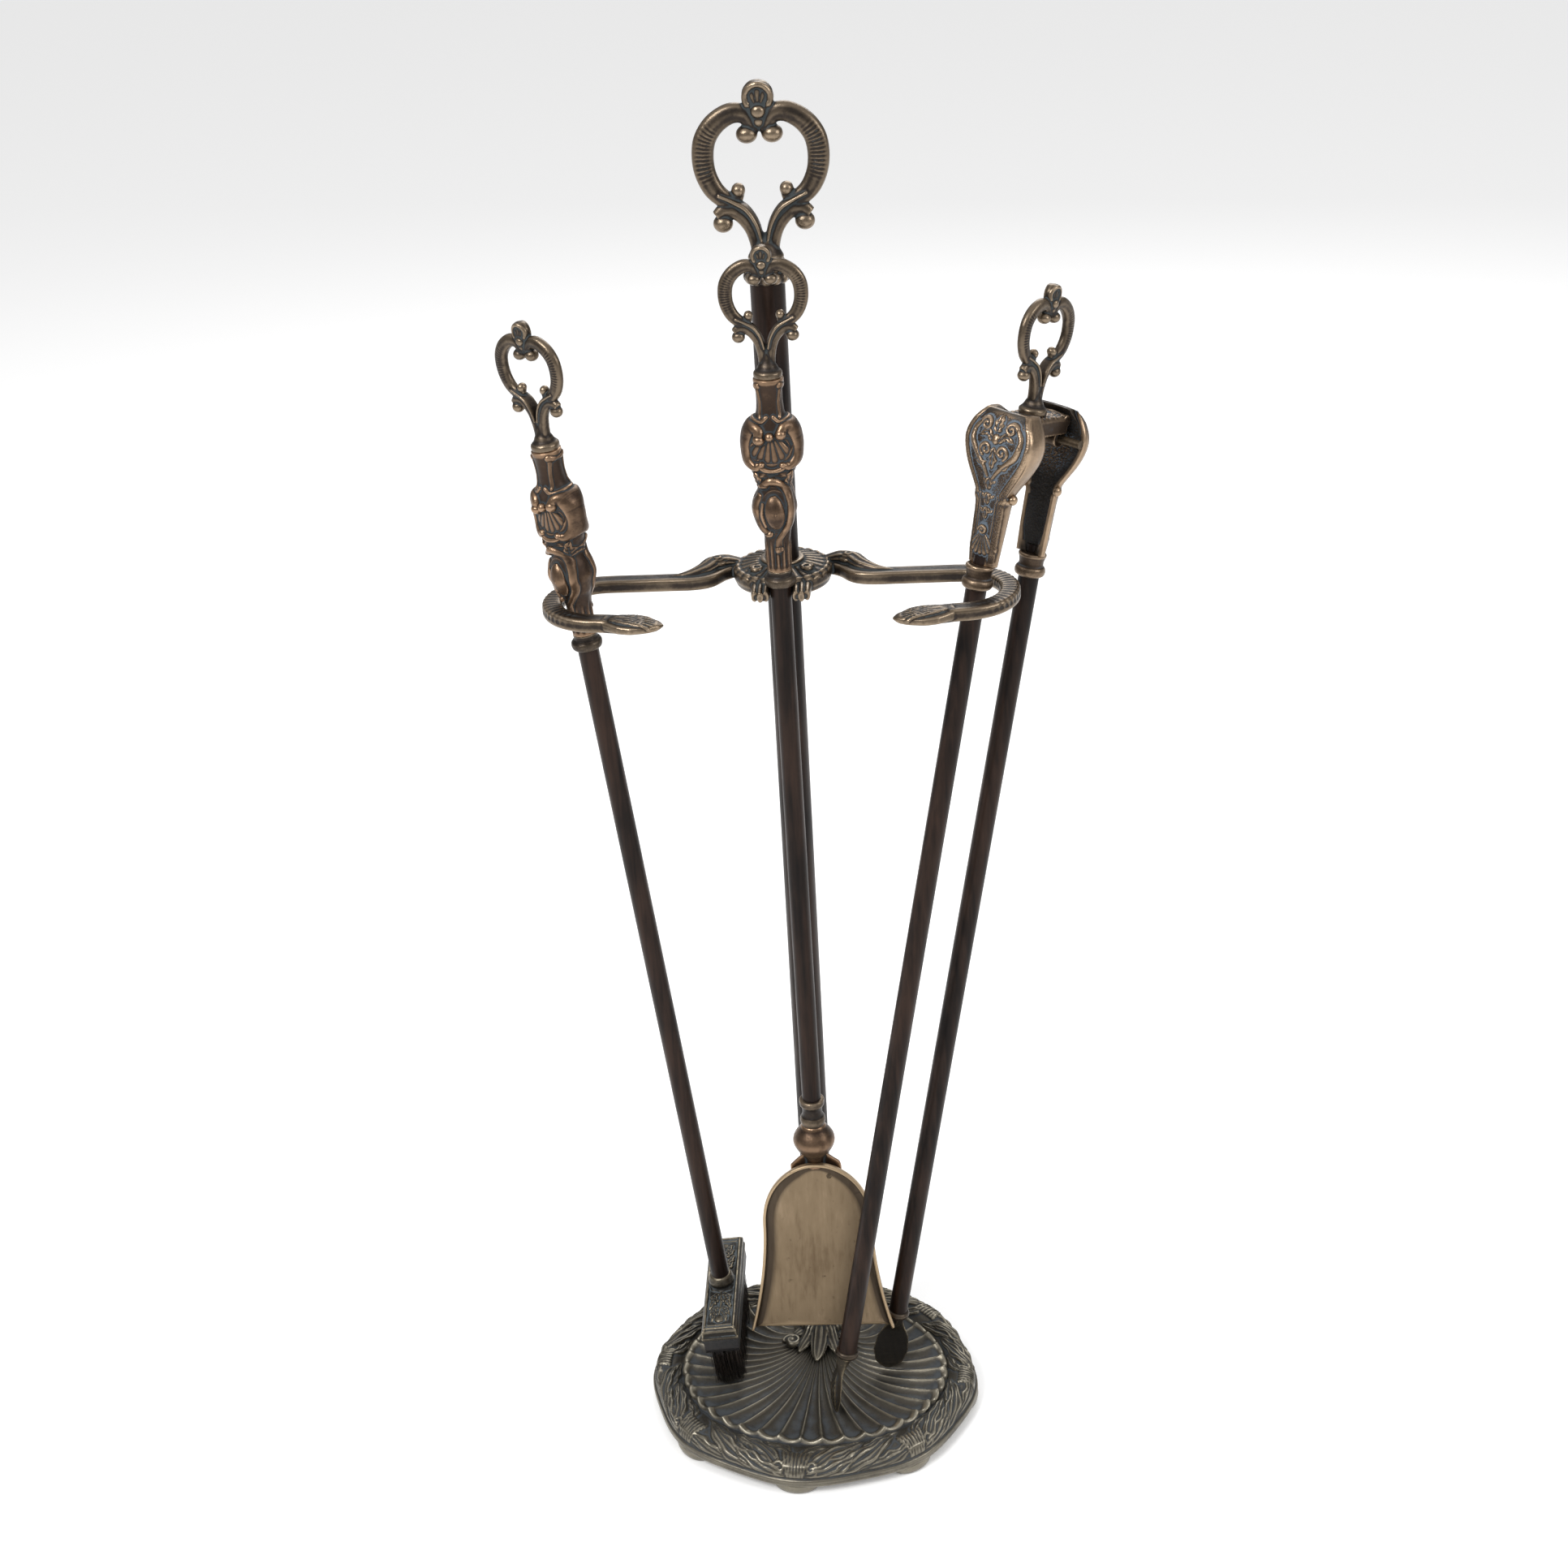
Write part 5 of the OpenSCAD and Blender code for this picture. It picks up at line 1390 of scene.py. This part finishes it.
def build_crown():
    """The block between the arms, with a pebbled top, and the two hinge knuckles."""
    def pebbles(X, Y):
        spots = RNG.random((150, 2)) * (30, 20) - (15, 10)
        H = 0.35 * np.exp(-(np.maximum(np.abs(X) - 12, 0) / 2.5) ** 2)
        for cx, cy in spots:
            dome(H, X, Y, (cx, cy), 1.0, 0.9, 0.55, rise=0.3)
        return H
    shape = slab(34, 18.6, CROWN_TOP - 8.4, CROWN_TOP - 0.4, 1.6, pebbles, 90, 60)
    for side in (-1, 1):
        line = [(side * 16.0, y, CROWN_TOP - 2.6) for y in np.linspace(-9.2, 9.2, 30)]
        shape.join(sweep(line, [2.6, 3.2, 2.6], [3.0, 3.6, 3.0], (0, 0, 1), 24))
        knuckle = [(side * PIN_OUT, y, PIN_UP) for y in np.linspace(-6, 6, 8)]
        shape.join(sweep(knuckle, [4.2, 4.2], [4.2, 4.2], (0, 0, 1), 28))
    piece("tongs_crown_cast", shape, TONGS, ARM_BRASS, "tongs", ["tongs_crown"],
          voxel=0.36, rounds=1, steps=(3, 18))


def build_claws():
    """Leaf claws: a veined back and a hollow face painted dark as shade."""
    length, width, turn = 35.5, 19.5, math.radians(45)
    for name, sign, drop, body in (("left", -1, LEFT_DROP, "tongs_left_leg"),
                                   ("right", 1, 0, "tongs")):
        rows, cols = 90, 72
        t = np.linspace(0.0, 1, rows)[:, None]
        a = np.linspace(0, 2 * math.pi, cols, endpoint=False)[None, :]
        half = width / 2 * np.interp(t, [0, 0.04, 0.14, 0.35, 0.6, 0.78, 0.88, 0.95, 1],
                                     [0.12, 0.45, 0.8, 1.0, 0.9, 0.55, 0.42, 0.4, 0.42])
        arch = 3.4 * (1 - ((t - 0.45) / 0.55) ** 2)
        thick = np.interp(t, [0, 0.1, 0.7, 0.88, 1], [0.5, 1.2, 1.4, 3.6, 4.4])
        v = half * np.sin(a)
        cup = 2.6 * (v / (width / 2)) ** 2
        x = arch - cup + thick * np.cos(a) * (1 - 0.25 * np.abs(np.sin(a)))
        surface = np.stack([x + 0 * a, v, t * length + 0 * a], -1)
        H = np.zeros((rows, cols))
        B = t * length + 0 * a
        for k in (-2, -1, 0, 1, 2):
            leaf(H, v, B, smooth_line([(k * 0.8, 27), (k * 2.6, 14), (k * 3.2, 3)], 12), 1.5, 0.9,
                 veins=1, lobes=1, cup=0.5)
        H *= np.cos(a) > 0
        shape = Shape()
        claw = tube_shape(raised(surface, H))
        claw.join(ball((1.2, 0, length - 4.4), 3.0, 4.0, 3.0))
        c, s = math.cos(turn), math.sin(turn)
        claw.points = [p @ np.array([[c, s, 0], [-s, c, 0], [0, 0, 1]]) + (LEG_OUT, 0, -drop)
                       for p in claw.points]
        shape.join(claw, mirror_x=sign < 0)

        # painted shade: the claw's cupped face is marked to be painted dark, with a pitted
        # variation, standing in for the shadow in the cup
        def hollow(p, n, face=np.array([-sign * c, -s, 0]), drop=drop):
            inner = np.clip((n @ face) * 4, 0, 1)
            pitted = 0.76 + 0.12 * np.sin(p @ (2.1, 1.3, 1.7)) * np.sin(p @ (0.8, 2.4, 1.1))
            return inner * np.clip((length - 9 - drop - p[:, 2]) / 3, 0, 1) * pitted
        piece(f"{name}_claw_cast", shape, TONGS, CLAW, body, [f"{name}_claw"],
              voxel=0.3, rounds=1, steps=(3, 14), shade=hollow)


# -- post foot

def build_post_foot():
    """A turned foot wrapped in a three-lobed palmette."""
    low = 12.4
    shape = turned([(low - 1, 15.5), (low + 1, 16.8), (low + 2.4, 14.8), (low + 4.5, 12.6),
                    (low + 8, 11.2), (low + 13, 10.8), (low + 15.4, 11.0), (low + 17.4, 10.0),
                    (low + 17.8, 8.4)], 70, 120,
                   bump=lambda a, X, Z: 0.6 * np.abs(np.cos(7 * a)) * (Z < low + 13))
    for angle, reach, width in ((0, 31, 4.6), (-24, 27, 3.6), (24, 27, 3.6), (-50, 22, 3.4),
                                (50, 22, 3.4), (-80, 17, 3.0), (80, 17, 3.0), (120, 14, 3.0),
                                (-120, 14, 3.0), (160, 13, 3.0), (-160, 13, 3.0)):
        k = math.radians(angle)
        out = np.array([math.sin(k), -math.cos(k)])
        path = [(r * out[0], r * out[1], z) for r, z in (
            (8, low + 7), (12, low + 5.4), (reach * 0.6, low + 2.0), (reach * 0.85, low + 0.2),
            (reach, low - 1.0))]
        shape.join(sweep(smooth_line(path, 40), [width * 0.6, width, width * 1.05, width * 0.8,
                                                 0.7], [2.4, 2.4, 1.9, 1.5, 0.8], (0, 0, 1), 40,
                         lambda t, a: 1 + 0.13 * np.cos(9 * a) * np.ones_like(t)))
    for side in (-1, 1):
        curl = spiral((side * 15.5, -18.0), 5.0, 1.4, 90 - side * 100, side * 1.2, 50, "xy")
        curl[:, 2] = low + 0.8
        shape.join(sweep(curl, [1.0, 1.7, 1.8], [1.2, 2.0, 2.2], (0, 0, 1), 18))
        shape.join(ball((side * 15.5, -18.0, low + 1.4), 2.2, 2.2, 1.8))
    piece("post_foot_cast", shape, inside(POST, turn=Matrix.Rotation(BASE_TURN, 3, "Z")),
          BASE_BRASS, "stand", ["post_foot"], voxel=0.4, rounds=1)


# ---------------------------------------------------------------- stage

CAMERA_TURN = (3.65, 26.61, -3.23)  # azimuth, pitch and roll in degrees
CAMERA_PLACE = (0.06388, -0.97495, 0.86708)
CAMERA_LENS, CAMERA_SENSOR = 52.06, 36.0


def photo_camera():
    """The photograph's own viewpoint, found by fitting its outlines."""
    azimuth, pitch, roll = (math.radians(angle) for angle in CAMERA_TURN)
    forward = Vector((-math.sin(azimuth) * math.cos(pitch), math.cos(azimuth) * math.cos(pitch),
                      -math.sin(pitch)))
    right = forward.cross(Vector((0, 0, 1))).normalized()
    up = right.cross(forward)
    across = right * math.cos(roll) + up * math.sin(roll)
    upward = up * math.cos(roll) - right * math.sin(roll)
    data = bpy.data.cameras.new("camera")
    data.lens, data.sensor_width = CAMERA_LENS, CAMERA_SENSOR
    camera = bpy.data.objects.new("camera", data)
    bpy.context.scene.collection.objects.link(camera)
    turn = Matrix((across, upward, -forward)).transposed().to_4x4()
    camera.matrix_world = Matrix.Translation(CAMERA_PLACE) @ turn
    bpy.context.scene.camera = camera


FLOOR_HALF = 15


def stage():
    """A pale floor, and a studio that is white behind the set."""
    mesh = bpy.data.meshes.new("floor")
    corners = [(FLOOR_HALF * x, FLOOR_HALF * y, 0) for x, y in ((-1, -1), (1, -1), (1, 1), (-1, 1))]
    mesh.from_pydata(corners, [], [(0, 1, 2, 3)])
    floor = bpy.data.objects.new("floor", mesh)
    bpy.context.scene.collection.objects.link(floor)
    material, _, shader = nodes_of("floor")
    shader.inputs["Base Color"].default_value = (0.93, 0.93, 0.93, 1)
    shader.inputs["Roughness"].default_value = 0.9
    shader.inputs["Specular IOR Level"].default_value = 0.1
    shader.inputs["Emission Color"].default_value = (1, 1, 1, 1)
    shader.inputs["Emission Strength"].default_value = 0.15
    mesh.materials.append(material)
    # a studio that is white behind the set and darker towards its walls
    world = bpy.data.worlds.new("studio")
    world.use_nodes = True
    bpy.context.scene.world = world
    tree = world.node_tree
    background = tree.nodes["Background"]
    heading = node(tree, "ShaderNodeSeparateXYZ", {
        "Vector": node(tree, "ShaderNodeTexCoord").outputs["Generated"]})
    walls = grey_ramp(tree, heading.outputs["Z"], [(0.0, 0.16), (0.3, 0.3), (0.9, 0.95)])
    seen = node(tree, "ShaderNodeLightPath").outputs["Is Camera Ray"]
    tree.links.new(mixed(tree, seen, walls, (1.0, 1.0, 1.0)), background.inputs[0])
    background.inputs[1].default_value = 1.0


def soft_light(name, place, target, size, power):
    data = bpy.data.lights.new(name, "AREA")
    data.shape, data.size, data.energy = "SQUARE", size, power
    lamp = bpy.data.objects.new(name, data)
    bpy.context.scene.collection.objects.link(lamp)
    lamp.location = place
    lamp.rotation_euler = (Vector(target) - Vector(place)).to_track_quat("-Z", "Y").to_euler()


LIT_POINT = (0, 0, 0.3)
# each lamp's place and size in metres, and its power in watts
LAMPS = {"key": ((-1.1, -1.3, 2.1), 0.9, 38),
         "fill": ((1.7, -0.7, 1.3), 0.8, 12),
         "back": ((0.3, 1.8, 1.6), 1.2, 14)}


def light_stage():
    for name, (place, size, power) in LAMPS.items():
        soft_light(name, place, LIT_POINT, size, power)


# ---------------------------------------------------------------- build

def build_rods():
    for name in ("post_lower_tube", "post_upper_tube", "brush_rod", "shovel_rod",
                 "left_rod", "right_rod"):
        obj = frame["nodes"][name]
        obj.data.materials.clear()
        obj.data.materials.append(BROWN)


def small_turning(name, place, profile, body, node_name, material=CASTING, flutes=0):
    """A bead or collar turned to a profile, its waist fluted if asked."""
    def fluted(a, X, Z):
        return 0.22 * np.cos(flutes * a)
    shape = turned(profile, 60, 120, bump=fluted if flutes else None)
    piece(name, shape, place, material, body, [node_name], steps=(3, 12))


def build_small_castings():
    bead = [(0, 4.2), (0.3, 5.8), (0.9, 6.9), (2.3, 7.4), (3.9, 7.3), (5.0, 6.5), (5.7, 5.8),
            (6.8, 5.6), (8.0, 5.7), (8.5, 5.0)]
    small_turning("brush_collar_cast", inside(BRUSH, (0, 0, GRIP_FOOT["brush"])), bead,
                  "brush", "brush_collar")
    small_turning("shovel_collar_cast", inside(SHOVEL, (0, 0, GRIP_FOOT["shovel"])), bead,
                  "shovel", "shovel_collar")
    small_turning("shovel_ferrule_cast", inside(SHOVEL, (0, 0, 168)), [
        (0, 4.4), (0.3, 5.6), (2.0, 6.4), (3.8, 6.7), (5.6, 6.3), (7.4, 5.4), (10.4, 5.3),
        (12.6, 5.9), (13.6, 6.5), (15.6, 6.6), (16.6, 6.2), (17, 4.6)],
        "shovel", "shovel_ferrule")
    small_turning("post_collar_cast", inside(POST, (0, 0, 611.3)), [
        (0, 8.1), (0.2, 9.2), (1.2, 10.2), (2.8, 10.6), (4.2, 10.0), (5.2, 8.9), (6.2, 9.3),
        (7.4, 9.9), (8.6, 9.2), (9.8, 8.2), (10, 6)], "stand", "post_collar", flutes=12)
    for side, sign, drop, body in (("left", -1, LEFT_DROP, "tongs_left_leg"),
                                   ("right", 1, 0, "tongs")):
        small_turning(f"{side}_bead_cast", inside(TONGS, (sign * LEG_OUT, 0, BEAD_LOW)), [
            (0, 4.4), (0.3, 5.7), (1.3, 7.0), (3.0, 7.4), (4.6, 7.0), (5.8, 6.0), (7.6, 5.9),
            (9.4, 6.3), (10.8, 6.8), (11.8, 6.2), (12, 4.0)], body, f"{side}_bead", ARM_BRASS)
        small_turning(f"{side}_collar_cast",
                      inside(TONGS, (sign * LEG_OUT, 0, 36.0 - drop)),
                      [(0, 4.3), (0.2, 5.4), (0.9, 6.1), (2.0, 6.4), (3.2, 6.0), (3.8, 5.3),
                       (4, 4.3)], body, f"{side}_collar")


def build_fasteners():
    """Hidden or plain hardware keeps its CAD shape and gets its own finish."""
    for names, material in ((("tie_rod", "tie_rod_washer", "tie_rod_nut", "brush_stud",
                              "shovel_stud", "tongs_stud"), STEEL),
                            (("shovel_rivets", "tongs_pins"), FASTENER)):
        for name in names:
            mesh = frame["nodes"][name].data
            mesh.materials.clear()
            mesh.materials.append(material)


photo_camera()
stage()
light_stage()
build_base()
build_post_foot()
build_rods()
build_hanger()
build_post_handle()
build_small_castings()
build_grip("brush", inside(BRUSH, (0, 0, GRIP_FOOT["brush"])), BRUSH_HANDLE_TURN, "brush")
build_grip("shovel", inside(SHOVEL, (0, 0, GRIP_FOOT["shovel"])), 0, "shovel")
build_loop("brush_loop", BRUSH, GRIP_FOOT["brush"] + 100, BRUSH_HANDLE_TURN, "brush",
           ["brush_handle"])
build_loop("shovel_loop", SHOVEL, GRIP_FOOT["shovel"] + 100, 0, "shovel", ["shovel_handle"])
build_loop("tongs_loop", TONGS, CROWN_TOP, 0, "tongs", ["tongs_handle"])
build_knuckle()
build_pan()
build_brush()
build_arms()
build_crown()
build_claws()
build_fasteners()

bpy.context.scene.view_settings.view_transform = "Standard"
